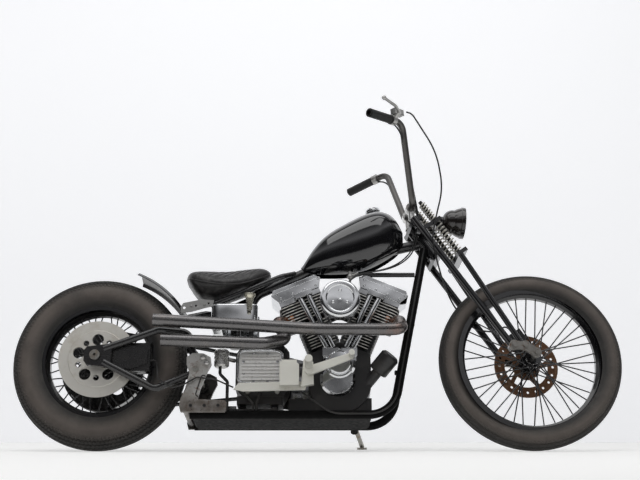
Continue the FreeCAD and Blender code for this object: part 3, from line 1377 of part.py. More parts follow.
def side_canisters():
    """A trumpet on the oil tank and a ribbed canister behind the gearbox, both on the right."""
    trumpet = turned("trumpet_body", (
        ("0", "0"), ("10", "0"), ("12", "30"), ("15", "44"), ("21", "54"), ("21", "62"), ("16", "62"),
        ("12", "50"), ("0", "46"),
    ))
    trumpet.Placement = Placement(Vector(-246, -129, 510), Rotation(X, 90))
    stud = cylinder("trumpet_stud", "6", "20", Vector(-246, -104 - S.fit_gap - 20, 528), Y)
    canister = turned("canister_body", (
        ("0", "0"), ("22", "0"), ("28", "6"), ("28", "24"), ("25", "26"), ("25", "30"), ("28", "32"),
        ("28", "40"), ("25", "42"), ("25", "46"), ("28", "48"), ("28", "60"), ("22", "66"), ("0", "66"),
    ))
    canister.Placement = Placement(Vector(-347, -108, 293), Rotation(X, 90))
    arm = rod("canister_arm", Vector(-301.6, -62, 330), Vector(-340, -100, 330), "8")
    finish(group("canister_set", [fuse("trumpet_item", [trumpet, stud]), fuse("canister_item", [canister, arm])]),
           "side_canisters", "frame")


def frame_hoses(tap):
    """The hoses and the clutch cable that the frame holds, each ending on the piece that it serves."""
    rail_top = S.rail_height + S.rail_radius + S.fit_gap
    case_face = -S.crankcase_half - S.fit_gap
    box_face = -78 - S.fit_gap
    rail_side = -S.rail_side
    bowl_top = S.crank_z + (head_base + 42) * math.cos(bank) + 21.4
    offset = S.rail_radius + S.cable_radius + S.fit_gap
    beside = [Vector(spot.x, -spot.y - offset, spot.z) for spot in downtube_points[:3]]
    runs = (
        ("breather", 7, 12, [Vector(-110, box_face, 364), Vector(-110, -104, 364), Vector(-96, -104, 303),
                             Vector(-14, -104, 303), Vector(-14, case_face, 303)]),
        ("drain", 4.5, 9, [Vector(-272, box_face, 208), Vector(-272, -100, 208), Vector(-228, rail_side, 156),
                           Vector(-228, rail_side, rail_top)]),
        ("vent", 4.5, 9, [Vector(-200, box_face, 208), Vector(-200, -100, 208), Vector(-215, rail_side, 156),
                          Vector(-215, rail_side, rail_top)]),
        ("canister_line", 6, 14, [Vector(-352, -108, 293 - S.fit_gap), Vector(-352, -108, 268),
                                  Vector(-324, rail_side, 240), Vector(-324, rail_side, rail_top)]),
        ("fuel_line", 3.5, 12, [tap - Z * (40 + S.fit_gap), tap - Z * 66, Vector(112, -126, 590),
                                Vector(112, -126, bowl_top)]),
        ("brake_line", 3, 18, [Vector(-298 - S.fit_gap, -156, 206), Vector(-360, -174, 230), Vector(-430, -174, 240),
                               Vector(-478, -171, 214), Vector(-524, -160, 204), Vector(-577, -155, 240),
                               Vector(-590, -102, 322), Vector(rear_axle.x + 200 + S.fit_gap, -102, 322)]),
        ("clutch_cable", S.cable_radius, rail_bend,
         beside + [Vector(60, beside[2].y, S.rail_height), Vector(-60, -116, 206),
                   Vector(-113.6, -106, 250)]),
    )
    lines = []
    for name, radius, bend, points in runs:
        lines.append(tube(name, points, radius, bend))
        print("hose", name, "radius", radius, "bend", bend)
    finish(group("hose_set", lines), "frame_hoses", "frame")


def brake_hose():
    """The front brake hose: from the master cylinder over the lamp side, behind the fork, to the caliper."""
    inward = bar_end_axis(RIGHT) * -1
    reservoir = lever_pivot(RIGHT) + Vector(-14, 2, -4) + inward * (52 + S.fit_gap) + bar_ahead(RIGHT) * 12 + Z * 12
    points = [reservoir, reservoir + inward * 34, Vector(456, -186, 1130), Vector(486, -130, 1000),
              Vector(456, -116, 880), fork_point(-4, -116, -30), fork_point(-36, -106, -104),
              fork_point(-40, -20, -176), fork_point(-38, 56, -262), fork_point(-30, 60, -380),
              fork_point(40, 64, -436), fork_point(92, 66, -436), fork_point(92, 66, axle_w + 134 + S.fit_gap)]
    finish(tube("brake_hose_run", points, S.cable_radius), "brake_hose", "steering")


def seat():
    """The saddle, grooved over the seat rails and recessed over the post on the backbone."""
    stations = (
        (-172, 13, 25, 30), (-205, -1, 46, 66), (-273, -39, 36, 92), (-340, -74, 19, 110),
        (-396, -104, 18, 118), (-446, -88, 25, 108), (-480, -46, 19, 80), (-494, -22, 9, 46),
    )
    solid = loft("seat", [(x, crown_z + low, crown_z + high, half) for x, low, high, half in stations], 3.0)
    for word, side in SIDES:
        solid = solid.cut(tube_shape(mirror_points(rail_points, side), S.seat_rail_radius + S.fit_gap, 40))
    recess = Part.makeCylinder(12, 60, seat_post_top + Z * (S.fit_gap - 60), Z)
    solid = solid.cut(recess)
    finish(feature("seat_shape", max(solid.Solids, key=lambda piece: piece.Volume)), "seat", "frame")


def rear_fender():
    """A short crowned strip that follows the tyre."""
    item = body("rear_fender_body")
    sketch = sketch_on(item, "XY_Plane")
    outline(sketch, (
        ("362", "-76.9"), ("372", "-62"), ("378", "0"), ("372", "62"), ("362", "76.9"),
        ("359", "75"), ("369", "60"), ("375", "0"), ("369", "-60"), ("359", "-75"),
    ))
    revolve(item, sketch, angle=38.0)
    place = Placement(rear_axle, Rotation(Y, -68))
    finish(item, "rear_fender", "frame", place)


def fender_bracket():
    """A slotted plate on each seat rail that takes the fender's edge."""
    corners = (("-508", "512"), ("-470", "516"), ("-388", "540"), ("-384", "562"), ("-430", "566"),
               ("-500", "552"), ("-510", "536"))
    plates = []
    for word, side in SIDES:
        start = 66 + S.seat_rail_radius + S.fit_gap
        start = start if side > 0 else -start - 3
        plates.append(plate("bracket_plate_" + word, corners, "%.3f" % start, "3",
                            (("-496", "533", "5"), ("-452", "540", "4"), ("-404", "550", "4"))))
    finish(group("bracket_pair", plates), "fender_bracket", "frame")


# Controls, calipers and small fittings

def rear_caliper():
    """The caliper over the back disc, with a carrier plate that turns about the axle spacer."""
    inner_face = S.swing_side - S.swing_tube_radius - S.fit_gap
    plate_wall = 8
    start_x = rear_axle.x + 100
    low_z = rear_axle.z - 53
    corners = ((rear_axle.x - 26, rear_axle.z - 20), (rear_axle.x, rear_axle.z - 30),
               (start_x + 30, low_z + 6), (start_x + 92, low_z + 30), (start_x + 92, low_z + 80),
               (start_x + 20, low_z + 100), (rear_axle.x, rear_axle.z + 30), (rear_axle.x - 26, rear_axle.z + 20))
    carrier = plate("caliper_carrier", [("%.3f" % x, "%.3f" % z) for x, z in corners], "%.3f" % -inner_face,
                    str(plate_wall), (("%.3f" % rear_axle.x, "%.3f" % rear_axle.z, "axle_spacer_radius + fit_gap"),))
    block = box("rear_caliper_block", "100", str(inner_face - plate_wall + 1 - 64), "108",
                Vector(start_x, -inner_face + plate_wall - 1, low_z))
    disc_side = S.rear_hub_half
    slot = box("rear_caliper_slot", "60", "rear_disc_wall + rear_disc_step + 5", "140",
               Vector(start_x - 6, -disc_side - 10 - 2.5, low_z - 16))
    finish(cut("rear_caliper_item", fuse("rear_caliper_body", [block, carrier]), slot), "rear_caliper", "frame")


def foot_controls():
    """A support bar on each side with a pivot casting, a peg and a pedal, and on the right the master cylinder."""
    for word, side in SIDES:
        inner = 152 if side < 0 else S.primary_side + S.primary_depth + S.fit_gap

        def slab(name, corners, near, wall):
            start = near if side > 0 else -near - wall
            return plate(name + word, [(str(x), str(z)) for x, z in corners], "%.3f" % start, str(wall))

        def across(name, x, z, radius, near, far):
            return cylinder(name + word, str(radius), "%.3f" % (far - near), Vector(x, near if side > 0 else -far, z), Y)

        pieces = [
            slab("control_bar_", ((-298, 198), (-262, 190), (-36, 196), (-30, 214), (-44, 228), (-280, 222)), inner, 8),
            slab("control_pivot_", ((-50, 206), (-4, 214), (-6, 296), (-22, 316), (-42, 308)), inner, 24),
            across("control_boss_", -22, 262, 15, inner, inner + 48),
            across("peg_", -22, 279, S.peg_radius, inner, S.peg_reach),
            slab("pedal_arm_", ((-32, 250), (-8, 246), (140, 304), (146, 318), (136, 328), (-24, 276)), inner + 34, 12),
            across("pedal_pad_", 134, 317, 11, inner + 34, inner + 90),
        ]
        if side < 0:
            pieces += [across("control_post_", place_x, 208, 9, 78 + S.fit_gap, inner + 1) for place_x in (-250, -140)]
            pieces.append(slab("master_cylinder_", ((-129, 206), (-58, 206), (-58, 284), (-70, 294), (-129, 294)),
                               inner + 6, 36))
            pieces.append(slab("master_cap_", ((-122, 290), (-66, 290), (-66, 302), (-122, 302)), inner + 10, 28))
        finish(fuse("foot_control_item_" + word, pieces), "foot_control_" + word, "frame")


# Side stand

ground_up = lean.inverse().Rotation.multVec(Z)
stand_foot = Vector(S.stand_foot_x, S.stand_foot_side,
                    S.stand_foot_side * math.tan(math.radians(S.lean_angle)))
stand_pivot = Vector(150, 150, 132)
stand_deployed = (stand_foot - stand_pivot).normalize()
stand_folded = Vector(-1, 0.06, -0.04).normalize()
fold_axis = stand_deployed.cross(stand_folded).normalize()


def side_stand():
    sole = cylinder("stand_sole", "20", "8", stand_foot, ground_up)
    leg = rod("stand_leg", stand_pivot, stand_foot + ground_up * 12, "stand_leg_radius")
    eye = cylinder("stand_eye", "16", "2 * stand_eye_half", stand_pivot - fold_axis * S.stand_eye_half, fold_axis)
    hole = cylinder("stand_hole", "stand_pin_radius + bearing_gap", "80", stand_pivot - fold_axis * 40, fold_axis)
    finish(cut("stand_item", fuse("stand_body", [sole, leg, eye]), hole), "side_stand", "side_stand")


def build():
    wheels()
    rear_disc()
    rear_pulley()
    front_disc()
    fork()
    fork_springs()
    front_axle_set()
    handlebar()
    headlamp()
    front_caliper()
    frame_tubes()
    rear_castings()
    swingarm()
    shock_absorbers()
    engine()
    air_cleaner()
    pushrods()
    cam_cover()
    gearbox()
    primary()
    belt()
    exhausts()
    oil_filter()
    oil_tank()
    tap = fuel_tank()
    fuel_tap(tap)
    engine_brace()
    side_canisters()
    frame_hoses(tap)
    brake_hose()
    seat()
    rear_fender()
    fender_bracket()
    rear_caliper()
    foot_controls()
    side_stand()


def whole_box():
    box_all = FreeCAD.BoundBox()
    for item, carrier in nodes.values():
        box_all.add(item.Shape.optimalBoundingBox(False))
    return box_all


def check_shapes():
    """Stops at the first state or shape that isn't sound."""
    failed = ["%s: %s" % (item.Name, item.State) for item in doc.Objects
              if "Invalid" in item.State or "Error" in item.State]
    failed += ["%s has no valid shape" % label for label, (item, carrier) in nodes.items()
               if item.Shape.isNull() or not item.Shape.isValid()]
    if failed:
        raise RuntimeError("; ".join(failed))


build()
doc.recompute()
check_shapes()
extent = whole_box()
to_origin = Placement(Vector(-extent.Center.x, -extent.Center.y, 0), Rotation())
for item, carrier in nodes.values():
    item.Placement = to_origin.multiply(item.Placement)
doc.recompute()
check_shapes()
for label, (item, carrier) in nodes.items():
    item.Shape.exportStep("parts/%s.step" % label)
    print(label, carrier, len(item.Shape.Solids), round(item.Shape.Volume / 1000.0, 1))
print("box", whole_box())
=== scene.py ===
import json
import math

import bpy
import numpy as np
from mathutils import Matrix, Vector
from mathutils.bvhtree import BVHTree


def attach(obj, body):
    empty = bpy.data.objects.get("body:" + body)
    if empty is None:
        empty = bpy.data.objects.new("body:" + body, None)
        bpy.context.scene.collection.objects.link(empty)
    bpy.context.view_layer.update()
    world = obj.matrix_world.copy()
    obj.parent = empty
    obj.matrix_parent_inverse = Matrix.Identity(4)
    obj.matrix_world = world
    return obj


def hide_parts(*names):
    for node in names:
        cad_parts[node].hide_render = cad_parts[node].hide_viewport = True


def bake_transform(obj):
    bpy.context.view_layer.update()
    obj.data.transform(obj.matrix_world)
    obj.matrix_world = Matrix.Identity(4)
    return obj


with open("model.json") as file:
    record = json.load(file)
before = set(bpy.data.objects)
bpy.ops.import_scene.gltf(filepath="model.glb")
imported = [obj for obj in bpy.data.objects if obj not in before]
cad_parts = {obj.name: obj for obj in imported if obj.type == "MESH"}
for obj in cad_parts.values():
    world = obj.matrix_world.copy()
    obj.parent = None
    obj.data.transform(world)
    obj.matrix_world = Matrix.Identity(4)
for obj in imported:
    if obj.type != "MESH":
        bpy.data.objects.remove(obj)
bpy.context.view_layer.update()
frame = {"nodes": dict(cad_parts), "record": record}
print("frame loaded:", len(frame["nodes"]), "nodes")

# the machine's own upright axes inside the leaning row frame; its sizes below are in millimetres
joints = {joint["name"]: joint for joint in frame["record"]["behaviour"]["joints"]}
rearHub = np.array(joints["rear_wheel_spin"]["pos_m"])
acrossAxis = np.array(joints["rear_wheel_spin"]["axis"])
alongAxis = np.array([1.0, 0.0, 0.0])
upAxis = np.cross(alongAxis, acrossAxis)
machineAxes = np.array([alongAxis, acrossAxis, upAxis])
machine = {"rearHub": (-814.0, 0.0, 331.52), "rake": 35.0, "head": (424.5, 815.7),
           # the crankshaft's middle, and how far either barrel leans from upright
           "crank": (93.0, 0.0, 248.0), "bank": 22.5}
floorPoint = rearHub - np.array(machine["rearHub"]) / 1000 @ machineAxes

# the fork's own axes: ahead of the steering axis, to the left, and up along it
steerPoint = np.array(joints["steering_head"]["pos_m"])
steerAxis = np.array(joints["steering_head"]["axis"])
forkAcross = np.array(joints["front_wheel_spin"]["axis"])
forkAxes = np.array([np.cross(forkAcross, steerAxis), forkAcross, steerAxis])
frontHub = np.array(joints["front_wheel_spin"]["pos_m"])


def onMachine(points):
    # forward, left and up in the upright machine, to the row frame
    return floorPoint + np.asarray(points, float) / 1000 @ machineAxes


def onSteering(points):
    # a place in the upright machine with its bars straight, turned with the fork to where it is at rest
    points = np.asarray(points, float)
    rake = math.radians(machine["rake"])
    sine, cosine = math.sin(rake), math.cos(rake)
    forward, up = points[..., 0] - machine["head"][0], points[..., 2] - machine["head"][1]
    onFork = np.stack([forward * cosine + up * sine, points[..., 1], up * cosine - forward * sine], -1)
    return steerPoint + onFork / 1000 @ forkAxes


def placed(name, data):
    obj = bpy.data.objects.new(name, data)
    bpy.context.scene.collection.objects.link(obj)
    return obj


# shader nodes; mat is a material, or the world


def link(mat, source, sink):
    mat.node_tree.links.new(source, sink)


def node(mat, kind, **values):
    made = mat.node_tree.nodes.new(kind)
    for key, value in values.items():
        setattr(made, key, value)
    return made


def feed(mat, sink, value):
    # a socket is linked, a number or a colour is set
    if isinstance(value, bpy.types.NodeSocket):
        link(mat, value, sink)
    elif isinstance(value, (int, float)):
        sink.default_value = value
    else:
        sink.default_value = (*value, 1.0) if len(value) == 3 and sink.type == "RGBA" else value


def objectPoint(mat):
    return node(mat, "ShaderNodeTexCoord").outputs["Object"]


def noise(mat, scale, detail=4.0, rough=0.55):
    made = node(mat, "ShaderNodeTexNoise")
    for name, value in (("Scale", scale), ("Detail", detail), ("Roughness", rough)):
        made.inputs[name].default_value = value
    link(mat, objectPoint(mat), made.inputs["Vector"])
    return made.outputs["Fac"]


def blendColor(mat, factor, low, high):
    made = node(mat, "ShaderNodeMix", data_type="RGBA")
    for value, index in ((factor, 0), (low, 6), (high, 7)):
        feed(mat, made.inputs[index], value)
    return made.outputs[2]


def remap(mat, source, fromLow, fromHigh, toLow, toHigh):
    made = node(mat, "ShaderNodeMapRange")
    for name, value in (("From Min", fromLow), ("From Max", fromHigh), ("To Min", toLow), ("To Max", toHigh)):
        made.inputs[name].default_value = value
    link(mat, source, made.inputs["Value"])
    return made.outputs["Result"]


def reckon(mat, operation, *values):
    made = node(mat, "ShaderNodeMath", operation=operation)
    for index, value in enumerate(values):
        feed(mat, made.inputs[index], value)
    return made.outputs[0]


def along(mat, point, direction):
    # how far a point of the piece lies from a place, measured along a direction, in metres
    shifted = node(mat, "ShaderNodeVectorMath", operation="SUBTRACT")
    link(mat, objectPoint(mat), shifted.inputs[0])
    shifted.inputs[1].default_value = tuple(point)
    made = node(mat, "ShaderNodeVectorMath", operation="DOT_PRODUCT")
    link(mat, shifted.outputs[0], made.inputs[0])
    made.inputs[1].default_value = tuple(direction)
    return made.outputs["Value"]


def awayFrom(mat, point):
    made = node(mat, "ShaderNodeVectorMath", operation="DISTANCE")
    link(mat, objectPoint(mat), made.inputs[0])
    made.inputs[1].default_value = tuple(point)
    return made.outputs["Value"]


def bump(mat, normal, source, strength, distance):
    made = node(mat, "ShaderNodeBump")
    made.inputs["Strength"].default_value = strength
    made.inputs["Distance"].default_value = distance
    link(mat, source, made.inputs["Height"])
    if normal:
        link(mat, normal, made.inputs["Normal"])
    return made.outputs["Normal"]


def softEdges(mat, radius):
    # edges catch the light as if they were rounded by this radius
    made = node(mat, "ShaderNodeBevel", samples=4)
    made.inputs["Radius"].default_value = radius
    return made.outputs["Normal"]


def newMaterial(name, color, metallic, roughness, **extra):
    mat = bpy.data.materials.new(name)
    mat.use_nodes = True
    shader = mat.node_tree.nodes["Principled BSDF"]
    shader.inputs["Base Color"].default_value = (*color, 1.0)
    shader.inputs["Metallic"].default_value = metallic
    shader.inputs["Roughness"].default_value = roughness
    for key, value in extra.items():
        shader.inputs[key.replace("_", " ")].default_value = value
    return mat, shader


# stage: camera, lamps, floor and wall

stageLook = {
    "cameraFromRearHub": (0.8327, -5.069, -0.2043), "pitch": 7.66, "lens": 74.8, "sensor": 36.0, "sight": 60.0,
    "half": 9.0, "wallDistance": 1.7, "wallHeight": 6.0,
    "wallColor": (0.78, 0.785, 0.80), "wallGlow": 0.57,
    "floorColor": (0.60, 0.60, 0.595), "floorGlow": 0.74,
    "aroundColor": (0.86, 0.865, 0.875),
    # the sky's grey by height, from 0 straight down to 1 straight up
    "sky": ((0.0, 0.42), (0.46, 0.34), (0.51, 0.05), (0.69, 0.07), (0.735, 0.45), (0.765, 1.7), (0.81, 1.1),
            (0.87, 0.35), (1.0, 0.55)),
    "skyBlue": 1.03, "skyStrength": 0.42,
    # place, target, size and power; only the ceiling's light shows in plating, where the others would leave
    # hard rectangles
    "lamps": {
        "ceilingSoftbox": ((0.0, -0.9, 3.6), (0.0, 0.0, 0.4), (4.5, 2.6), 62.0),
        "frontSoftbox": ((-1.6, -4.2, 2.0), (0.0, 0.0, 0.5), (2.6, 1.6), 36.0),
        "sideSoftbox": ((3.4, -2.2, 1.6), (0.2, 0.0, 0.5), (1.4, 1.8), 20.0),
        "backSoftbox": ((-3.4, 1.2, 2.2), (-0.2, 0.0, 0.5), (1.4, 1.4), 12.0),
    },
}


def buildCamera():
    data = bpy.data.cameras.new("photoCamera")
    data.lens = stageLook["lens"]
    data.sensor_width = stageLook["sensor"]
    data.clip_end = stageLook["sight"]
    camera = placed("photoCamera", data)
    camera.location = Vector(rearHub) + Vector(stageLook["cameraFromRearHub"])
    camera.rotation_euler = (math.radians(90.0 + stageLook["pitch"]), 0.0, 0.0)
    bpy.context.scene.camera = camera


def mixShader(mat, factor, low, high, sink):
    made = node(mat, "ShaderNodeMixShader")
    for index, source in enumerate((factor, low, high)):
        link(mat, source, made.inputs[index])
    link(mat, made.outputs[0], mat.node_tree.nodes[sink].inputs["Surface"])


def stageMaterial(name, color, glow, oneSided=False):
    # a matte surface that the camera and mirrors see brighter than it lights the object; a one-sided sheet
    # is clear from behind, so that the machine can be looked at from there
    mat, shader = newMaterial(name, color, 0.0, 0.85, Specular_IOR_Level=0.2, Emission_Color=(*color, 1.0))
    path = node(mat, "ShaderNodeLightPath")
    seen = path.outputs["Is Camera Ray"]
    for ray in ("Is Glossy Ray", "Is Transmission Ray"):
        seen = reckon(mat, "MAXIMUM", seen, path.outputs[ray])
    link(mat, reckon(mat, "MULTIPLY", seen, glow), shader.inputs["Emission Strength"])
    if oneSided:
        mixShader(mat, node(mat, "ShaderNodeNewGeometry").outputs["Backfacing"], shader.outputs[0],
                  node(mat, "ShaderNodeBsdfTransparent").outputs[0], "Material Output")
    return mat


def flatSheet(name, corners, mat):
    mesh = bpy.data.meshes.new(name)
    mesh.from_pydata(corners, [], [(0, 1, 2, 3)])
    mesh.materials.append(mat)
    placed(name, mesh)


def areaLamp(name, place, target, size, power):
    data = bpy.data.lights.new(name, "AREA")
    data.shape = "RECTANGLE"
    data.size, data.size_y = size
    data.energy = power
    lamp = placed(name, data)
    lamp.location = place
    lamp.rotation_euler = (Vector(target) - Vector(place)).to_track_quat("-Z", "Y").to_euler()
    lamp.visible_glossy = name == "ceilingSoftbox"


def studioSky():
    # dark round the horizon with a narrow bright band above, so that plating has something to reflect
    world = bpy.data.worlds.new("studioSky")
    world.use_nodes = True
    sky = world.node_tree.nodes["Background"]
    split = node(world, "ShaderNodeSeparateXYZ")
    link(world, node(world, "ShaderNodeTexCoord").outputs["Generated"], split.inputs[0])
    shade = node(world, "ShaderNodeValToRGB")
    stops = stageLook["sky"]
    while len(shade.color_ramp.elements) < len(stops):
        shade.color_ramp.elements.new(0.5)
    for element, (position, grey) in zip(shade.color_ramp.elements, stops):
        element.position = position
        element.color = (grey, grey, grey * stageLook["skyBlue"], 1.0)
    link(world, remap(world, split.outputs["Z"], -1.0, 1.0, 0.0, 1.0), shade.inputs["Fac"])
    link(world, shade.outputs["Color"], sky.inputs["Color"])
    sky.inputs["Strength"].default_value = stageLook["skyStrength"]
    # past the ends of the floor the camera sees a pale studio, and nothing else does
    around = node(world, "ShaderNodeBackground")
    around.inputs["Color"].default_value = (*stageLook["aroundColor"], 1.0)
    mixShader(world, node(world, "ShaderNodeLightPath").outputs["Is Camera Ray"], sky.outputs[0],
              around.outputs[0], "World Output")
    bpy.context.scene.world = world


def buildStage():
    half, wall, top = stageLook["half"], stageLook["wallDistance"], stageLook["wallHeight"]
    flatSheet("studioFloor", ((-half, -half, 0), (half, -half, 0), (half, half, 0), (-half, half, 0)),
              stageMaterial("studioFloorPaint", stageLook["floorColor"], stageLook["floorGlow"]))
    flatSheet("studioWall", ((-half, wall, 0), (half, wall, 0), (half, wall, top), (-half, wall, top)),
              stageMaterial("studioWallPaint", stageLook["wallColor"], stageLook["wallGlow"], True))
    studioSky()
    for name, look in stageLook["lamps"].items():
        areaLamp(name, *look)
    bpy.context.scene.view_settings.view_transform = "Standard"


buildCamera()
buildStage()
print("stage ready")

# materials


def worn(name, color, wornColor, metallic, roughness, spread=0.08, scale=14.0, grain=0.0, dust=0.12,
         dustColor=(0.20, 0.18, 0.155), cover=(0.56, 0.74), stain=None, edge=0.0, wave=0.0, **extra):
    # mottled paint or metal whose roughness varies, with dust that gathers low down and an optional stain
    mat, shader = newMaterial(name, color, metallic, roughness, **extra)
    base = blendColor(mat, remap(mat, noise(mat, scale, 6.0, 0.62), *cover, 0.0, 1.0), color, wornColor)
    if stain:
        base = stain(mat, base)
    if dust:
        low = remap(mat, along(mat, (0, 0, 0), (0, 0, 1)), 0.08, 0.50, dust, 0.0)
        patchy = remap(mat, noise(mat, scale * 0.5, 4.0), 0.3, 0.7, 0.15, 1.0)
        base = blendColor(mat, reckon(mat, "MULTIPLY", low, patchy), base, dustColor)
    link(mat, base, shader.inputs["Base Color"])
    fine = noise(mat, scale * 6.0, 3.0)
    link(mat, remap(mat, fine, 0.25, 0.75, max(roughness - spread, 0.03), min(roughness + spread, 1.0)),
         shader.inputs["Roughness"])
    normal = softEdges(mat, edge) if edge else None
    if wave:
        normal = bump(mat, normal, noise(mat, 8.0, 1.0), wave, 0.008)
    if grain:
        normal = bump(mat, normal, noise(mat, scale * 22.0, 3.0), grain, 0.0006)
    if normal:
        link(mat, normal, shader.inputs["Normal"])
    return mat


# how far from a barrel's axis its rims start and end, lengthwise and across, in metres
barrelRims = ((0.0605, 0.0622), (0.0715, 0.0732))


def finEdges(mat, base):
    # polished rims on the fins: bright where a point of either leaning barrel is close to its fins' outline
    crank = onMachine(machine["crank"])
    forward = reckon(mat, "ABSOLUTE", along(mat, crank, alongAxis))
    up = along(mat, crank, upAxis)
    lean = math.radians(machine["bank"])
    local = reckon(mat, "ABSOLUTE", reckon(mat, "SUBTRACT", reckon(mat, "MULTIPLY", forward, math.cos(lean)),
                                           reckon(mat, "MULTIPLY", up, math.sin(lean))))
    side = reckon(mat, "ABSOLUTE", along(mat, crank, acrossAxis))
    rim = reckon(mat, "MAXIMUM", *(remap(mat, reach, *ends, 0.0, 1.0)
                                   for reach, ends in zip((local, side), barrelRims)))
    scraped = reckon(mat, "MULTIPLY", rim, remap(mat, noise(mat, 90.0, 3.0), 0.36, 0.5, 0.25, 1.0))
    return blendColor(mat, scraped, base, (0.66, 0.64, 0.60))


def portRust(mat, base):
    # brown bloom on the pipes within a hand's breadth of the two ports, patchy further on
    ports = [onMachine((266, -80, 490)), onMachine((-90, -80, 490)), onMachine((322, -192, 418))]
    near = [remap(mat, awayFrom(mat, port), 0.02, 0.10, 1.0, 0.0) for port in ports]
    heat = reckon(mat, "MAXIMUM", reckon(mat, "MAXIMUM", near[0], near[1]), reckon(mat, "MULTIPLY", near[2], 0.25))
    patchy = remap(mat, noise(mat, 26.0, 5.0, 0.65), 0.38, 0.60, 0.0, 1.0)
    rusty = reckon(mat, "MULTIPLY", heat, patchy)
    return blendColor(mat, rusty, base, (0.34, 0.125, 0.045))


def rustSpots(mat, base):
    spots = remap(mat, noise(mat, 55.0, 5.0, 0.7), 0.56, 0.66, 0.0, 0.8)
    return blendColor(mat, spots, base, (0.17, 0.075, 0.035))


def slotGap(mat, top, foot):
    # how far a point lies from the line between two places, seen from the side
    top, foot = onMachine(top), onMachine(foot)
    length = float(np.linalg.norm(foot - top))
    down = (foot - top) / length
    middle = (top + foot) / 2
    past = reckon(mat, "MAXIMUM", reckon(mat, "SUBTRACT", reckon(mat, "ABSOLUTE", along(mat, middle, down)),
                                         length / 2), 0.0)
    beside = along(mat, middle, np.cross(acrossAxis, down))
    return reckon(mat, "SQRT", reckon(mat, "ADD", reckon(mat, "MULTIPLY", past, past),
                                      reckon(mat, "MULTIPLY", beside, beside)))


def castingZones(mat, base):
    # bright arms with a painted shade line round the recess of their slot, a brown and oily foot, and a dark casting
    # on the far side
    gap = slotGap(mat, (-408, -164, 240), (-425, -164, 180))
    # painted shade: a dark band round the slot, about 6 to 12 mm from its middle line, stands for the shade at the
    # recess's edge
    line = reckon(mat, "MULTIPLY", remap(mat, gap, 0.0055, 0.0075, 0.0, 0.95),
                  remap(mat, gap, 0.0105, 0.0125, 1.0, 0.0))
    base = blendColor(mat, line, base, (0.018, 0.016, 0.015))
    height = along(mat, floorPoint, upAxis)
    foot = reckon(mat, "MULTIPLY", remap(mat, height, 0.150, 0.178, 0.85, 0.0),
                  remap(mat, noise(mat, 30.0, 4.0), 0.30, 0.60, 0.55, 1.0))
    browned = blendColor(mat, foot, rustSpots(mat, base), (0.125, 0.098, 0.078))
    far = remap(mat, along(mat, floorPoint, acrossAxis), 0.02, 0.04, 0.0, 0.9)
    return blendColor(mat, far, browned, (0.030, 0.028, 0.027))


def trumpetCream(mat, base):
    # the horn over the canister is cream, the canister bare
    high = remap(mat, along(mat, floorPoint, upAxis), 0.472, 0.486, 0.0, 1.0)
    return blendColor(mat, high, base, (0.66, 0.63, 0.52))


def rimPolish(mat, base):
    # the outer rim of each head fin is scraped bright, read from the mesh
    rim = node(mat, "ShaderNodeAttribute", attribute_name="rimShare").outputs["Fac"]
    scraped = reckon(mat, "MULTIPLY", rim, remap(mat, noise(mat, 70.0, 3.0), 0.36, 0.52, 0.35, 1.0))
    return blendColor(mat, scraped, base, (0.72, 0.70, 0.66))


def tyreSides(mat, base):
    # a brown bloom half way up the side wall, darker tread and bead, read from the mesh's own height over the rim
    height = node(mat, "ShaderNodeAttribute", attribute_name="wallHeight").outputs["Fac"]
    bloom = reckon(mat, "MULTIPLY", remap(mat, height, 0.12, 0.45, 0.0, 1.0),
                   remap(mat, height, 0.62, 0.86, 1.0, 0.0))
    patchy = reckon(mat, "MULTIPLY", bloom, remap(mat, noise(mat, 7.0, 5.0, 0.6), 0.32, 0.62, 0.45, 1.0))
    return blendColor(mat, patchy, base, (0.118, 0.100, 0.088))


def leatherFolds(mat, base):
    creased = remap(mat, noise(mat, 38.0, 6.0, 0.7), 0.50, 0.62, 0.0, 0.6)
    return blendColor(mat, creased, base, (0.052, 0.049, 0.047))


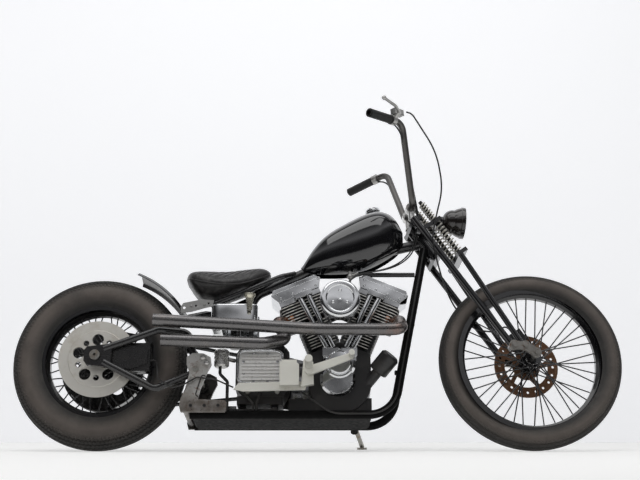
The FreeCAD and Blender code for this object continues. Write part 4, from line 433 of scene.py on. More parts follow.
materials = {
    "frameBlack": worn("frameBlack", (0.008, 0.008, 0.009), (0.016, 0.015, 0.014), 0.0, 0.24, 0.08,
                       edge=0.0015, Coat_Weight=0.4, Coat_Roughness=0.12),
    # painted shade: the cradle gets a darker, duller copy of the frame's black, standing in for the shade on its
    # underside
    "cradleShadedBlack": worn("cradleShadedBlack", (0.003, 0.003, 0.003), (0.007, 0.006, 0.006), 0.0, 0.62, 0.12, dust=0.0,
                        Specular_IOR_Level=0.10),
    "wheelBlack": worn("wheelBlack", (0.006, 0.006, 0.007), (0.014, 0.013, 0.012), 0.0, 0.16, 0.06, dust=0.05,
                       Coat_Weight=0.6, Coat_Roughness=0.06),
    "engineBlack": worn("engineBlack", (0.012, 0.012, 0.013), (0.030, 0.028, 0.026), 0.0, 0.42, 0.12, grain=0.25,
                        edge=0.0015),
    "finBlack": worn("finBlack", (0.011, 0.011, 0.012), (0.026, 0.025, 0.023), 0.1, 0.40, 0.12, grain=0.2,
                     stain=finEdges),
    "headFinBlack": worn("headFinBlack", (0.011, 0.011, 0.012), (0.026, 0.025, 0.023), 0.2, 0.38, 0.12, grain=0.2,
                         stain=rimPolish),
    "castGrey": worn("castGrey", (0.30, 0.29, 0.27), (0.12, 0.10, 0.09), 0.85, 0.40, 0.12, grain=0.3,
                     cover=(0.46, 0.66), stain=rustSpots, edge=0.002),
    "castingAlloy": worn("castingAlloy", (0.60, 0.59, 0.565), (0.40, 0.37, 0.33), 0.75, 0.36, 0.12, grain=0.25,
                         cover=(0.50, 0.70), stain=castingZones, edge=0.002),
    "chrome": worn("chrome", (0.70, 0.71, 0.72), (0.46, 0.45, 0.43), 1.0, 0.09, 0.05, 9.0, dust=0.08,
                   cover=(0.62, 0.82), edge=0.0025, wave=0.5),
    "polishedAlloy": worn("polishedAlloy", (0.66, 0.655, 0.64), (0.46, 0.44, 0.41), 1.0, 0.24, 0.08, dust=0.10,
                          cover=(0.56, 0.78), edge=0.002, wave=0.2),
    "coverAlloy": worn("coverAlloy", (0.84, 0.83, 0.81), (0.66, 0.64, 0.60), 0.10, 0.30, 0.08, dust=0.04,
                       cover=(0.60, 0.80)),
    "dullAlloy": worn("dullAlloy", (0.50, 0.495, 0.48), (0.27, 0.25, 0.23), 0.95, 0.36, 0.12, grain=0.2,
                      edge=0.0015),
    "creamAlloy": worn("creamAlloy", (0.78, 0.77, 0.70), (0.60, 0.57, 0.49), 0.15, 0.36, 0.10, grain=0.1,
                       cover=(0.60, 0.78), edge=0.002, dust=0.05),
    "canisterAlloy": worn("canisterAlloy", (0.66, 0.655, 0.64), (0.42, 0.40, 0.37), 0.85, 0.26, 0.1,
                          stain=trumpetCream, edge=0.0015),
    "paleDisc": worn("paleDisc", (0.66, 0.64, 0.59), (0.52, 0.47, 0.40), 0.35, 0.42, 0.1, dust=0.05,
                     cover=(0.52, 0.75)),
    "rustyDisc": worn("rustyDisc", (0.17, 0.085, 0.045), (0.32, 0.21, 0.13), 0.6, 0.50, 0.12, 30.0, grain=0.4),
    "rustySteel": worn("rustySteel", (0.42, 0.41, 0.38), (0.27, 0.20, 0.14), 0.9, 0.34, 0.12, 24.0,
                       cover=(0.50, 0.68)),
    "springSteel": worn("springSteel", (0.60, 0.585, 0.53), (0.34, 0.29, 0.23), 0.7, 0.33, 0.10, 60.0,
                        cover=(0.50, 0.70)),
    "pipeGrey": worn("pipeGrey", (0.165, 0.160, 0.160), (0.22, 0.20, 0.19), 0.85, 0.28, 0.06, 9.0,
                     stain=portRust),
    "barGrey": worn("barGrey", (0.13, 0.125, 0.12), (0.08, 0.075, 0.07), 0.85, 0.32, 0.08),
    "tyreRubber": worn("tyreRubber", (0.026, 0.025, 0.024), (0.044, 0.041, 0.038), 0.0, 0.74, 0.08, 22.0,
                       grain=0.3, dust=0.12, stain=tyreSides),
    "gripRubber": worn("gripRubber", (0.012, 0.012, 0.012), (0.025, 0.025, 0.025), 0.0, 0.58, 0.1),
    "hoseRubber": worn("hoseRubber", (0.010, 0.010, 0.010), (0.022, 0.022, 0.022), 0.0, 0.36, 0.1),
    "beltRubber": worn("beltRubber", (0.016, 0.016, 0.016), (0.035, 0.034, 0.032), 0.0, 0.7, 0.1),
    "seatLeather": worn("seatLeather", (0.013, 0.012, 0.012), (0.030, 0.028, 0.027), 0.0, 0.34, 0.10, 40.0,
                        grain=0.45, dust=0.0, stain=leatherFolds),
    "tankGloss": worn("tankGloss", (0.005, 0.005, 0.006), (0.010, 0.010, 0.012), 0.0, 0.10, 0.03, 10.0, dust=0.0,
                      Coat_Weight=1.0, Coat_Roughness=0.02),
    "lampBlack": worn("lampBlack", (0.014, 0.011, 0.010), (0.035, 0.022, 0.016), 0.2, 0.18, 0.06,
                      Coat_Weight=0.8, Coat_Roughness=0.05),
    "lensGlass": newMaterial("lensGlass", (0.95, 0.84, 0.58), 0.0, 0.06, Transmission_Weight=0.75, IOR=1.45)[0],
}

nodeFinish = {
    "wheelBlack": ("rear_rim", "front_rim", "rear_spoked_hub", "front_spoked_hub", "fork_rear_legs",
                   "fork_front_legs", "rear_pulley"),
    "tyreRubber": ("rear_tyre", "front_tyre"),
    "paleDisc": ("rear_disc",),
    "rustyDisc": ("front_disc",),
    "rustySteel": ("side_stand", "rear_axle", "swing_pivot_pin"),
    "springSteel": ("fork_springs",),
    "frameBlack": ("frame_backbone", "swingarm", "shock_absorbers", "rear_fender", "headlamp_bracket",
                   "rear_caliper", "engine_brace"),
    "cradleShadedBlack": ("frame_cradle",),
    "engineBlack": ("crankcase", "gearbox", "front_caliper", "carburettor", "oil_filter"),
    "finBlack": ("cylinders", "cylinder_heads"),
    "castGrey": ("fork_rockers",),
    "castingAlloy": ("frame_rear_castings",),
    "chrome": ("rocker_covers", "air_cleaner", "pushrod_tubes", "cam_cover", "fuel_cap", "primary_cover",
               "oil_tank"),
    "polishedAlloy": ("handlebar_risers",),
    "coverAlloy": ("gearbox_cover",),
    "creamAlloy": ("foot_control_right", "foot_control_left"),
    "dullAlloy": ("fender_bracket", "hand_levers", "fuel_tap"),
    "canisterAlloy": ("side_canisters",),
    "pipeGrey": ("exhaust_front", "exhaust_rear"),
    "barGrey": ("handlebar",),
    "gripRubber": ("grips",),
    "hoseRubber": ("frame_hoses", "brake_hose"),
    "beltRubber": ("drive_belt",),
    "seatLeather": ("seat",),
    "tankGloss": ("fuel_tank",),
    "lampBlack": ("headlamp",),
    "lensGlass": ("headlamp_lens",),
}


def paintNodes():
    for finish, names in nodeFinish.items():
        for name in names:
            obj = frame["nodes"][name]
            obj.data.materials.clear()
            obj.data.materials.append(materials[finish])


paintNodes()
print("materials ready")

# mesh making


def gridFaces(rows, columns, closed=False):
    # one four-sided face to each cell of a grid whose columns wrap round, as its rows do where it is closed
    row, column = np.meshgrid(np.arange(rows if closed else rows - 1), np.arange(columns), indexing="ij")
    nextRow, nextColumn = (row + 1) % rows, (column + 1) % columns
    corners = [row * columns + column, nextRow * columns + column,
               nextRow * columns + nextColumn, row * columns + nextColumn]
    return np.stack(corners, -1).reshape(-1, 4)


def closedFaces(rows, columns):
    # rings joined each to the next, and a fan over the first and the last from two middle points after them
    around = np.arange(columns)
    after = (around + 1) % columns
    last, middle = (rows - 1) * columns, np.full(columns, rows * columns)
    return [gridFaces(rows, columns), np.vstack([np.stack([around, after, middle], -1),
                                                 np.stack([after + last, around + last, middle + 1], -1)])]


def repeated(parts, count, size):
    # the faces of one piece of so many points, for a row of such pieces
    start = (np.arange(count) * size)[:, None, None]
    return [(faces[None] + start).reshape(-1, faces.shape[1]) for faces in parts]


def facesOutwards(points, *parts):
    # every part turned round together where the volume that they enclose comes out negative
    volume = 0.0
    for faces in parts:
        a, b, c = points[faces[:, 0]], points[faces[:, 1]], points[faces[:, 2]]
        volume += np.einsum("ij,ij->", a, np.cross(b, c))
        if faces.shape[1] == 4:
            volume += np.einsum("ij,ij->", a, np.cross(c, points[faces[:, 3]]))
    return parts if volume > 0 else [faces[:, ::-1] for faces in parts]


def addPiece(name, points, parts, finish, body, sharp=40.0):
    # one mesh from an array of points and arrays of faces, smooth but for edges sharper than the angle
    mesh = bpy.data.meshes.new(name)
    middle = points.mean(0)
    faces = [face for part in facesOutwards(points - middle, *parts) for face in part.tolist()]
    mesh.from_pydata(points.tolist(), [], faces)
    mesh.polygons.foreach_set("use_smooth", np.ones(len(faces), bool))
    mesh.set_sharp_from_angle(angle=math.radians(sharp))
    mesh.materials.append(materials[finish])
    obj = placed(name, mesh)
    if body:
        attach(obj, body)
    return obj


def unit(vectors):
    return vectors / np.linalg.norm(vectors, axis=-1, keepdims=True)


def smoothLine(points, count):
    # a uniform cubic B-spline that its points pull on, its ends held by mirrored neighbours
    points = np.asarray(points, float)
    held = np.vstack([2 * points[0] - points[1], points, 2 * points[-1] - points[-2]])
    place = np.linspace(0.0, len(points) - 1 - 1e-9, count)
    index = place.astype(int)
    t = (place - index)[:, None]
    weights = ((1 - t) ** 3 / 6, (3 * t ** 3 - 6 * t ** 2 + 4) / 6,
               (-3 * t ** 3 + 3 * t ** 2 + 3 * t + 1) / 6, t ** 3 / 6)
    return sum(weight * held[index + step] for step, weight in enumerate(weights))


def lineFrames(line, closed=False):
    # two unit vectors square to the line at each point, from one direction that the line never takes
    tangent = unit(np.roll(line, -1, 0) - np.roll(line, 1, 0) if closed else np.gradient(line, axis=0))
    candidates = np.array([(1, 0, 0), (0, 1, 0), (0, 0, 1), (1, 1, 0), (0, 1, 1), (1, 0, 1.0)])
    worst = np.abs(tangent @ unit(candidates).T).max(0)
    first = unit(np.cross(tangent, candidates[worst.argmin()]))
    return first, np.cross(tangent, first)


def rings(first, second, sides):
    # a unit circle in the plane of each pair of vectors
    angle = np.linspace(0, 2 * np.pi, sides, endpoint=False)[None, :, None]
    return np.cos(angle) * first[:, None] + np.sin(angle) * second[:, None]


def tubeAlong(name, line, radius, finish, body, closed=False, sides=10):
    # a circle carried along the line, square to it, with a centre point closing each end
    points = (line[:, None] + radius * rings(*lineFrames(line, closed), sides)).reshape(-1, 3)
    if closed:
        return addPiece(name, points, [gridFaces(len(line), sides, True)], finish, body)
    return addPiece(name, np.vstack([points, line[:1], line[-1:]]), closedFaces(len(line), sides), finish, body)


def turnedPieces(name, spots, axes, profile, finish, body, sides):
    # one profile of (radius, height) turned about each axis; the profile starts and ends on its axis
    axes = unit(axes)
    first = unit(np.cross(axes, np.where(np.abs(axes[:, :1]) > 0.7, (0.0, 1.0, 0.0), (1.0, 0.0, 0.0))))
    radii, heights = np.array(profile, float).T
    turned = (spots[:, None, None] + radii[None, :, None, None] * rings(first, np.cross(axes, first), sides)[:, None]
              + heights[None, :, None, None] * axes[:, None, None])
    count = len(spots)
    points = np.concatenate([turned[:, 1:-1].reshape(count, -1, 3), turned[:, 0, :1], turned[:, -1, :1]], 1)
    parts = repeated(closedFaces(len(radii) - 2, sides), count, points.shape[1])
    return addPiece(name, points.reshape(-1, 3), parts, finish, body, sharp=35.0)


def readPoints(mesh):
    places = np.empty(len(mesh.vertices) * 3)
    mesh.vertices.foreach_get("co", places)
    return places.reshape(-1, 3)


treeOf = {}


def surfaceBelow(nodeName, starts, direction):
    # the first spot on a node's surface that each start sees in the direction, and the spots that found one
    if nodeName not in treeOf:
        mesh = frame["nodes"][nodeName].data
        corners = np.empty(len(mesh.loops), int)
        mesh.loops.foreach_get("vertex_index", corners)
        treeOf[nodeName] = BVHTree.FromPolygons(readPoints(mesh).tolist(), corners.reshape(-1, 3).tolist())
    hits = [treeOf[nodeName].ray_cast(Vector(start), Vector(direction))[0] for start in starts]
    found = [hit for hit in hits if hit is not None]
    if len(found) < len(hits):
        print(nodeName, "was missed by", len(hits) - len(found), "rays")
    return np.array([tuple(hit) for hit in found])


# tyres

tread = {
    # how far round its circle the crown goes, and the points and power of the pull in to either bead
    "turn": 1.95, "tail": 9, "tailPower": 1.2,
    "grooveSlope": 0.9,
    # past the tread's edge every other tooth reaches further out; the step down ends before the bead
    "teeth": (0.07, -0.01), "stepSlope": 0.03, "stepDepth": 2.6, "stepEnd": 1.45, "stepRun": 0.4,
    "ridgeHalf": 2.2, "ridgeHigh": 0.9, "ridgesFrom": 1.2,
    "innerPoints": 12, "innerPower": 0.6,
}
rearTyre = {"radius": 330.0, "crown": 68.0, "bead": 206.0, "beadHalf": 44.0, "wall": 12.0, "turns": 780,
            "teeth": 130, "grooves": (0.0, 0.33, 0.62, 0.86), "grooveDepth": 5.0, "grooveHalf": 2.1, "zigzag": 2.6,
            "edge": 0.98, "ridges": (232.0, 300.0)}
frontTyre = {"radius": 347.0, "crown": 43.0, "bead": 269.0, "beadHalf": 27.0, "wall": 9.0, "turns": 720,
             "teeth": 144, "grooves": (0.0, 0.46, 0.86), "grooveDepth": 3.2, "grooveHalf": 1.6, "zigzag": 1.7,
             "edge": 1.02, "ridges": (282.0, 322.0)}


def tyreSection(look, count):
    # the outside from bead to bead: a circle over the crown, then a smooth pull in to each bead
    angle = np.linspace(-tread["turn"], tread["turn"], count)
    radius = look["radius"] - look["crown"] + look["crown"] * np.cos(angle)
    side = look["crown"] * np.sin(angle)
    tail = np.linspace(0, 1, tread["tail"] + 1)[1:]
    tailRadius = radius[-1] + (look["bead"] - radius[-1]) * tail
    tailSide = side[-1] + (look["beadHalf"] - side[-1]) * tail ** tread["tailPower"]
    # the tails have an angle far past the tread, where nothing is cut
    off = np.full(tread["tail"], 9.0)
    return (np.concatenate([tailRadius[::-1], radius, tailRadius]),
            np.concatenate([-tailSide[::-1], side, tailSide]), np.concatenate([-off, angle, off]))


def buildTyre(name, look, hub, axis, body, count):
    # radius = section radius - groove depth where the arc across the tread is within half a groove of a zigzag
    # line; past the tread's edge every other tooth steps down to the side wall
    radius, side, angle = tyreSection(look, count)
    turns = look["turns"]
    theta = np.linspace(0, 2 * np.pi, turns, endpoint=False)
    share = theta * look["teeth"] / (2 * np.pi) % 1.0
    saw = 4 * np.abs(share - 0.5) - 1
    arc = look["crown"] * angle[:, None]
    depth = np.zeros((len(radius), turns))
    for index, line in enumerate(look["grooves"]):
        for sign in ((1, -1) if line else (1,)):
            centre = look["crown"] * line * sign + look["zigzag"] * saw[None] * (1 if index % 2 else -1)
            near = np.clip((np.abs(arc - centre) - look["grooveHalf"]) / tread["grooveSlope"], 0, 1)
            depth = np.maximum(depth, look["grooveDepth"] * (1 - near))
    off = np.abs(angle)[:, None]
    past = off - look["edge"] - np.where(share < 0.5, *tread["teeth"])[None]
    step = np.clip(past / tread["stepSlope"], 0, 1) * np.clip((tread["stepEnd"] - off) / tread["stepRun"], 0, 1)
    depth = np.maximum(depth, tread["stepDepth"] * step)
    for ridge in look["ridges"]:
        bulge = np.exp(-((radius - ridge) / tread["ridgeHalf"]) ** 2)[:, None] * (off > tread["ridgesFrom"])
        depth = depth - tread["ridgeHigh"] * bulge
    outwardR, outwardS = np.gradient(side), -np.gradient(radius)
    size = np.hypot(outwardR, outwardS)
    outer = np.stack([radius[:, None] - depth * (outwardR / size)[:, None],
                      side[:, None] - depth * (outwardS / size)[:, None]])
    inner = np.linspace(1, -1, tread["innerPoints"])
    innerR = (look["bead"] + (look["radius"] - look["wall"] - look["bead"])
              * np.cos(inner * np.pi / 2) ** tread["innerPower"])
    innerS = (look["beadHalf"] - look["wall"] * 0.5) * inner
    inside = np.broadcast_to(np.stack([innerR, innerS])[:, :, None], (2, len(inner), turns))
    full = np.concatenate([outer, inside], 1)
    # turned from the row's +X, which isn't quite square to the steered front axle
    first = np.array([1.0, 0.0, 0.0])
    ray = np.cos(theta)[:, None] * first + np.sin(theta)[:, None] * np.cross(axis, first)
    outwards, sideways = (measure[:, :, None] / 1000 for measure in full)
    points = (hub + outwards * ray[None] + sideways * axis).reshape(-1, 3)
    obj = addPiece(name, points, [gridFaces(full.shape[1], turns, True)], "tyreRubber", body, 30.0)
    height = (full[0] - look["bead"]) / (look["radius"] - look["bead"])
    obj.data.attributes.new("wallHeight", "FLOAT", "POINT").data.foreach_set("value", height.reshape(-1))
    return obj


rearTread = buildTyre("rearTyreTread", rearTyre, rearHub, acrossAxis, "rear_wheel", 92)
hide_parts("rear_tyre")
frontTread = buildTyre("frontTyreTread", frontTyre, frontHub, forkAcross, "front_wheel", 84)
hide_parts("front_tyre")
print("tyres ready")

# saddle

saddle = {
    # forward, top, rolled edge, underside and half width at each station, from the tail to the nose
    "stations": ((-492, 674, 657, 650, 40), (-484, 684, 650, 638, 72), (-467, 690, 641, 610, 94),
                 (-440, 690, 631, 582, 107), (-400, 687, 621, 570, 114), (-356, 684, 616, 580, 110),
                 (-310, 690, 619, 600, 99), (-275, 697, 627, 616, 88), (-237, 706, 643, 634, 74),
                 (-205, 711, 660, 652, 54), (-182, 704, 677, 671, 33), (-173, 694, 684, 680, 16)),
    "rows": 120, "columns": 112,
    # powers of the rounding across the top and the skirt, and up them; how far the skirt leans in
    "square": (0.86, 0.55), "crownPower": 0.72, "skirtPower": 0.8, "leanIn": 0.24,
    "pleat": 4.5, "pleatSpacing": 25.0, "pleatSlant": 0.95, "pleatSpan": (-470, -205),
    "pressure": 3.0, "cap": 0.006, "frames": 20, "nailed": 6, "piping": 0.0034, "pipingStep": 3, "fill": 0.8,
}


def saddleShape(rows, columns):
    # half a turn over the top and half under the rolled edge; the top is a rounded crown and the skirt
    # below leans in to a flat underside
    forward, top, edge, under, half = smoothLine(saddle["stations"], rows).T
    angle = np.linspace(0, 2 * np.pi, columns, endpoint=False)[None]
    sine, cosine = np.sin(angle), np.cos(angle)
    above, lift = sine >= 0, np.abs(sine)
    wide = np.sign(cosine) * np.abs(cosine) ** np.where(above, *saddle["square"])
    side = half[:, None] * wide * np.where(above, 1.0, 1.0 - saddle["leanIn"] * lift)
    crown = edge[:, None] + (top - edge)[:, None] * lift ** saddle["crownPower"]
    skirt = edge[:, None] - (edge - under)[:, None] * lift ** saddle["skirtPower"]
    return np.stack([np.broadcast_to(forward[:, None], side.shape), side, np.where(above, crown, skirt)], -1)


def atStation(forward, column):
    table = np.array(saddle["stations"], float)
    return np.interp(forward, table[:, 0], table[:, column])


def swell(obj, held):
    # the cover is blown up by a light pressure for a few frames; the held points are nailed to the pan
    rest = readPoints(obj.data)
    group = obj.vertex_groups.new(name="pan")
    group.add(np.flatnonzero(held).tolist(), 1.0, "REPLACE")
    filling = obj.modifiers.new("filling", "CLOTH")
    filling.settings.use_pressure = True
    filling.settings.uniform_pressure_force = saddle["pressure"]
    filling.settings.effector_weights.gravity = 0.0
    filling.settings.vertex_group_mass = "pan"
    for moment in range(1, saddle["frames"] + 1):
        bpy.context.scene.frame_set(moment)
    blown = obj.evaluated_get(bpy.context.evaluated_depsgraph_get())
    moved = readPoints(blown.data) - rest
    length = np.linalg.norm(moved, axis=1, keepdims=True)
    obj.modifiers.remove(filling)
    obj.vertex_groups.remove(group)
    bpy.context.scene.frame_set(1)
    shift = moved * np.minimum(1.0, saddle["cap"] / np.maximum(length, 1e-9))
    print("saddle swelled by up to", round(float(np.linalg.norm(shift, axis=1).max() * 1000), 1), "mm")
    obj.data.vertices.foreach_set("co", (rest + shift).reshape(-1))


def foldPleats(obj, flat):
    # grooves that run out and back from the middle, deepest half way to the edge, plus small slack waves
    forward, side, up = flat.T
    share = np.abs(side) / np.maximum(atStation(forward, 4), 1.0)
    line = (forward + saddle["pleatSlant"] * np.abs(side)) / saddle["pleatSpacing"]
    groove = (0.5 + 0.5 * np.cos(2 * np.pi * line)) ** 5
    reach = np.clip((share - 0.18) / 0.2, 0, 1) * np.clip((1.0 - share) / 0.1, 0, 1)
    low, high = saddle["pleatSpan"]
    tailOff = np.clip((forward - low) / 40, 0, 1) * np.clip((high - forward) / 40, 0, 1)
    onTop = np.clip((up - atStation(forward, 2) - 2.0) / 6.0, 0, 1)
    slack = 0.7 * np.sin(forward / 9.0 + side / 13.0) * np.sin(side / 11.0 - forward / 23.0)
    depth = (saddle["pleat"] * groove + 0.5 * slack) * reach * tailOff * onTop / 1000
    normals = np.empty(len(obj.data.vertices) * 3)
    obj.data.vertices.foreach_get("normal", normals)
    obj.data.vertices.foreach_set("co", (readPoints(obj.data) - normals.reshape(-1, 3) * depth[:, None]).reshape(-1))
    obj.data.update()


def buildSaddle():
    rows, columns, step = saddle["rows"], saddle["columns"], saddle["pipingStep"]
    shape = saddleShape(rows, columns)
    flat = np.vstack([shape.reshape(-1, 3), shape[0].mean(0), shape[-1].mean(0)])
    cover = addPiece("saddleCover", onMachine(flat), closedFaces(rows, columns), "seatLeather", "frame", 80.0)
    swell(cover, flat[:, 2] < atStation(flat[:, 0], 2) - saddle["nailed"])
    foldPleats(cover, flat)
    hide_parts("seat")
    # the piping runs up one side of the rolled edge and back down the other
    index = np.concatenate([np.arange(0, rows, step) * columns,
                            np.arange(rows - 1, -1, -step) * columns + columns // 2])
    piping = readPoints(cover.data)[index]
    smooth = (np.roll(piping, 1, 0) + 2 * piping + np.roll(piping, -1, 0)) / 4
    tubeAlong("saddlePiping", smooth, saddle["piping"], "seatLeather", "frame", closed=True)


buildSaddle()
print("saddle ready")

# engine trim

headFins = {"first": 271.8, "pitch": 11.5, "count": 7, "wall": 3.6, "halfLength": 92.0, "halfWidth": 78.0,
            "shift": 13.0, "corner": 26.0, "rim": 2.0, "points": 64}
oilTank = {"low": 450.0, "high": 545.0, "bevel": 0.009, "segments": 5, "roundPoints": 10,
           # centre, radius, first and last bearing of each rounded corner, then the square inner corners
           "rounds": ((-360, -70, 34, 180, 270), (-244, -76, 28, 270, 360)),
           "inner": ((-216, -64), (-352, -64))}
gearboxRim = {"centre": (-202.0, 291.0), "half": (82.0, 61.0), "corner": 34.0, "side": -126.0, "radius": 4.0,
              "points": 96}


def roundedOutline(halfLength, halfWidth, corner, count):
    # a rounded rectangle read from a superellipse: |x/a|^n + |y/b|^n = 1, its power set by the corner
    power = 2.0 + 2.2 * min(halfLength, halfWidth) / corner
    angle = np.linspace(0, 2 * np.pi, count, endpoint=False)
    return np.stack([halfLength * np.sign(np.cos(angle)) * np.abs(np.cos(angle)) ** (2 / power),
                     halfWidth * np.sign(np.sin(angle)) * np.abs(np.sin(angle)) ** (2 / power)], -1)


def bankAxes(sign):
    # lengthwise and outwards on the front barrel, sign 1, or on the rear one, sign -1
    lean = math.radians(machine["bank"])
    return (np.array([math.cos(lean), 0, -math.sin(lean) * sign]),
            np.array([math.sin(lean) * sign, 0, math.cos(lean)]))


def buildHeadFins():
    # each fin is one outline at two heights with a narrow rim, closed by a fan over and under it
    look, count = headFins, headFins["points"]
    outline = roundedOutline(look["halfLength"], look["halfWidth"], look["corner"], count)
    inset = outline * (1 - look["rim"] / look["halfWidth"])
    levels = ((inset, 0.0), (outline, 0.0), (outline, look["wall"]), (inset, look["wall"]))
    middles = ((0.0, 0.0, 0.0), (0.0, 0.0, look["wall"]))
    one = np.vstack([np.column_stack([ring, np.full(count, height)]) for ring, height in levels] + [middles])
    share = np.concatenate([np.repeat((0.0, 1.0, 1.0, 0.0), count), (0.0, 0.0)])
    lifts = look["first"] + look["pitch"] * np.arange(look["count"])
    for name, sign in (("front", 1), ("rear", -1)):
        lengthwise, outwards = bankAxes(sign)
        fins = ((one[None, :, :1] + look["shift"] * sign) * lengthwise + one[None, :, 1:2] * np.array([0, 1.0, 0])
                + (one[None, :, 2:] + lifts[:, None, None]) * outwards)
        piece = addPiece(name + "HeadFins", onMachine(fins.reshape(-1, 3) + machine["crank"]),
                         repeated(closedFaces(4, count), look["count"], len(one)), "headFinBlack", "frame")
        piece.data.attributes.new("rimShare", "FLOAT", "POINT").data.foreach_set(
            "value", np.tile(share, look["count"]))


def buildOilTank():
    # half a plan of rounded corners, mirrored across the machine and carried up; a live bevel rounds its ends
    half = [(x + radius * math.cos(turn), y + radius * math.sin(turn))
            for x, y, radius, first, last in oilTank["rounds"]
            for turn in np.radians(np.linspace(first, last, oilTank["roundPoints"]))]
    half = np.array(half + list(oilTank["inner"]), float)
    plan = np.vstack([half, half[::-1] * (1, -1)])
    count = len(plan)
    points = onMachine(np.vstack([np.column_stack([plan, np.full(count, oilTank[end])]) for end in ("low", "high")]))
    around = np.arange(count)
    after = (around + 1) % count
    walls = np.stack([around, after, after + count, around + count], -1)
    caps = np.array([around[::-1], around + count])
    mesh = bpy.data.meshes.new("oilTankShell")
    mesh.from_pydata(points.tolist(), [], walls.tolist() + caps.tolist())
    mesh.polygons.foreach_set("use_smooth", np.ones(count + 2, bool))
    mesh.materials.append(materials["chrome"])
    shell = placed("oilTankShell", mesh)
    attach(shell, "frame")
    rounding = shell.modifiers.new("rounding", "BEVEL")
    rounding.width = oilTank["bevel"]
    rounding.segments = oilTank["segments"]
    rounding.harden_normals = True
    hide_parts("oil_tank")


def buildGearboxRim():
    look = gearboxRim
    outline = roundedOutline(*look["half"], look["corner"], look["points"])
    line = np.column_stack([outline[:, 0] + look["centre"][0], np.full(look["points"], look["side"]),
                            outline[:, 1] + look["centre"][1]])
    tubeAlong("gearboxCoverRim", onMachine(line), look["radius"] / 1000, "chrome", "frame", closed=True)


buildHeadFins()
buildOilTank()
buildGearboxRim()
print("engine trim ready")

# screws, nuts and caps

hexHead = ((0, -1.0), (1.0, -1.0), (1.0, 0.0), (1.0, 0.72), (0.86, 0.86), (0, 0.86))
domeNut = ((0, -1.0), (1.3, -1.0), (1.3, 0.0), (1.3, 0.16), (1.0, 0.16), (1.0, 0.7), (0.75, 1.05), (0.4, 1.25),
           (0, 1.32))
socketHead = ((0, -1.0), (1.0, -1.0), (1.0, 0.0), (1.0, 0.8), (0.88, 0.94), (0.5, 0.94), (0.5, 0.45), (0, 0.45))
slottedHead = ((0, -1.0), (1.0, -1.0), (1.0, 0.0), (1.0, 0.25), (0.8, 0.5), (0, 0.56))
rockerScrews = {"radius": 4.6, "sides": 14, "eye": -260, "shift": 14,
                # lengthwise and outwards from the crankshaft
                "places": ((-70, 382), (-22, 382), (26, 382), (74, 382), (-78, 404), (92, 404))}


def onEllipse(x, z, ahead, up, bearings):
    return [(x + ahead * math.cos(turn), z + up * math.sin(turn)) for turn in np.radians(bearings)]


rearCastingScrews = [(-452, 137), (-402, 137), (-352, 137)]
rearCastingCaps = [(-397, 296), (-411, 316)]
fasteners = {
    # name: node that carries them, profile, radius, sides, finish, how far left the eye is that sees them, and
    # the places that it sees, forward and up
    "gearboxCoverScrews": ("gearbox_cover", socketHead, 5.2, 14, "chrome", -260,
                           onEllipse(-201, 287, 68, 56, np.arange(8) * 45.0 + 22.5)),
    "camCoverScrews": ("cam_cover", slottedHead, 5.0, 14, "chrome", -260,
                       onEllipse(91, 311, 50, 50, (20, 90, 160, 215, 325))
                       + onEllipse(84, 252, 56, 56, (200, 245, 295, 340))),
    "airCleanerScrews": ("air_cleaner", domeNut, 5.0, 16, "chrome", -320,
                         onEllipse(93, 529, 30, 30, (90, 210, 330))),
    "primaryCoverScrews": ("primary_cover", socketHead, 5.2, 14, "chrome", 300,
                           [(120, 330), (60, 345), (-20, 355), (-110, 372), (-185, 372), (-235, 330), (-235, 262),
                            (-170, 226), (-80, 205), (10, 180), (80, 165), (140, 190)]),
    "castingScrewsRight": ("frame_rear_castings", socketHead, 6.0, 14, "engineBlack", -260, rearCastingScrews),
    "castingScrewsLeft": ("frame_rear_castings", hexHead, 7.0, 6, "dullAlloy", 260, rearCastingScrews),
    "castingCapsRight": ("frame_rear_castings", domeNut, 9.5, 18, "dullAlloy", -260, rearCastingCaps),
    "castingCapsLeft": ("frame_rear_castings", domeNut, 9.5, 18, "dullAlloy", 260, rearCastingCaps),
    "bracketScrews": ("fender_bracket", slottedHead, 5.0, 14, "dullAlloy", -260,
                      [(-490, 512), (-470, 540), (-420, 545)]),
}


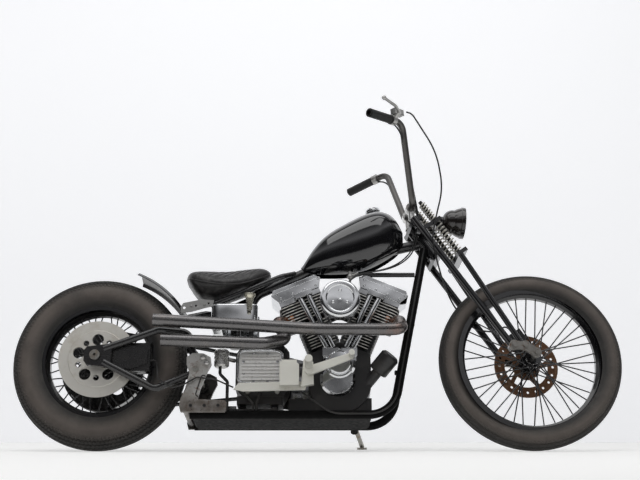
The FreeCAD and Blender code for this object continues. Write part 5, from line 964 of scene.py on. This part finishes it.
def buildFasteners():
    for name, (nodeName, profile, radius, sides, finish, eye, places) in fasteners.items():
        gaze = acrossAxis if eye < 0 else -acrossAxis
        spots = surfaceBelow(nodeName, onMachine([(x, eye, z) for x, z in places]), gaze)
        piece = turnedPieces(name, spots, np.broadcast_to(-gaze, spots.shape), np.array(profile) * radius / 1000,
                             finish, "frame", sides)


def rockerCoverScrews():
    # four screws through the side face of either rocker cover and two along its top step
    look = rockerScrews
    for name, sign in (("front", 1), ("rear", -1)):
        lengthwise, outwards = bankAxes(sign)
        places = [np.array(machine["crank"]) + (0, look["eye"], 0) + lengthwise * (ahead + look["shift"] * sign)
                  + outwards * lift for ahead, lift in look["places"]]
        spots = surfaceBelow("rocker_covers", onMachine(places), acrossAxis)
        piece = turnedPieces(name + "CoverScrews", spots, np.broadcast_to(-acrossAxis, spots.shape),
                             np.array(socketHead) * look["radius"] / 1000, "chrome", "frame", look["sides"])


buildFasteners()
rockerCoverScrews()
print("fasteners ready")

# control cables that cross the steering head

cables = {
    "throttleCableOpen": {
        "bars": ((276, -264, 1204), (318, -220, 1192), (346, -150, 1085), (378, -92, 960), (398, -52, 900)),
        "frame": ((392, -42, 830), (372, -38, 760), (300, -44, 704), (215, -62, 681), (150, -96, 662),
                  (112, -128, 600), (97, -140, 552)),
        "radius": 2.7},
    "throttleCableClose": {
        "bars": ((282, -258, 1204), (324, -214, 1186), (354, -142, 1078), (386, -84, 956), (404, -48, 892)),
        "frame": ((398, -50, 826), (378, -46, 752), (304, -54, 698), (220, -70, 679), (156, -102, 658),
                  (104, -124, 600), (90, -136, 552)),
        "radius": 2.7},
    "clutchCableUpper": {
        "bars": ((276, 264, 1206), (318, 220, 1194), (346, 150, 1085), (376, 92, 960), (388, 52, 902)),
        "frame": ((378, 20, 866), (378, -22, 842), (402, -42, 814), (424, -39.5, 790)),
        "radius": 3.2},
}


def buildCables():
    for name, look in cables.items():
        turning, still = onSteering(look["bars"]), onMachine(look["frame"])
        line = smoothLine(np.vstack([turning, still]), 160)
        cable = tubeAlong(name, line, look["radius"] / 1000, "hoseRubber", None)
        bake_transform(cable)


buildCables()
print("cables ready")
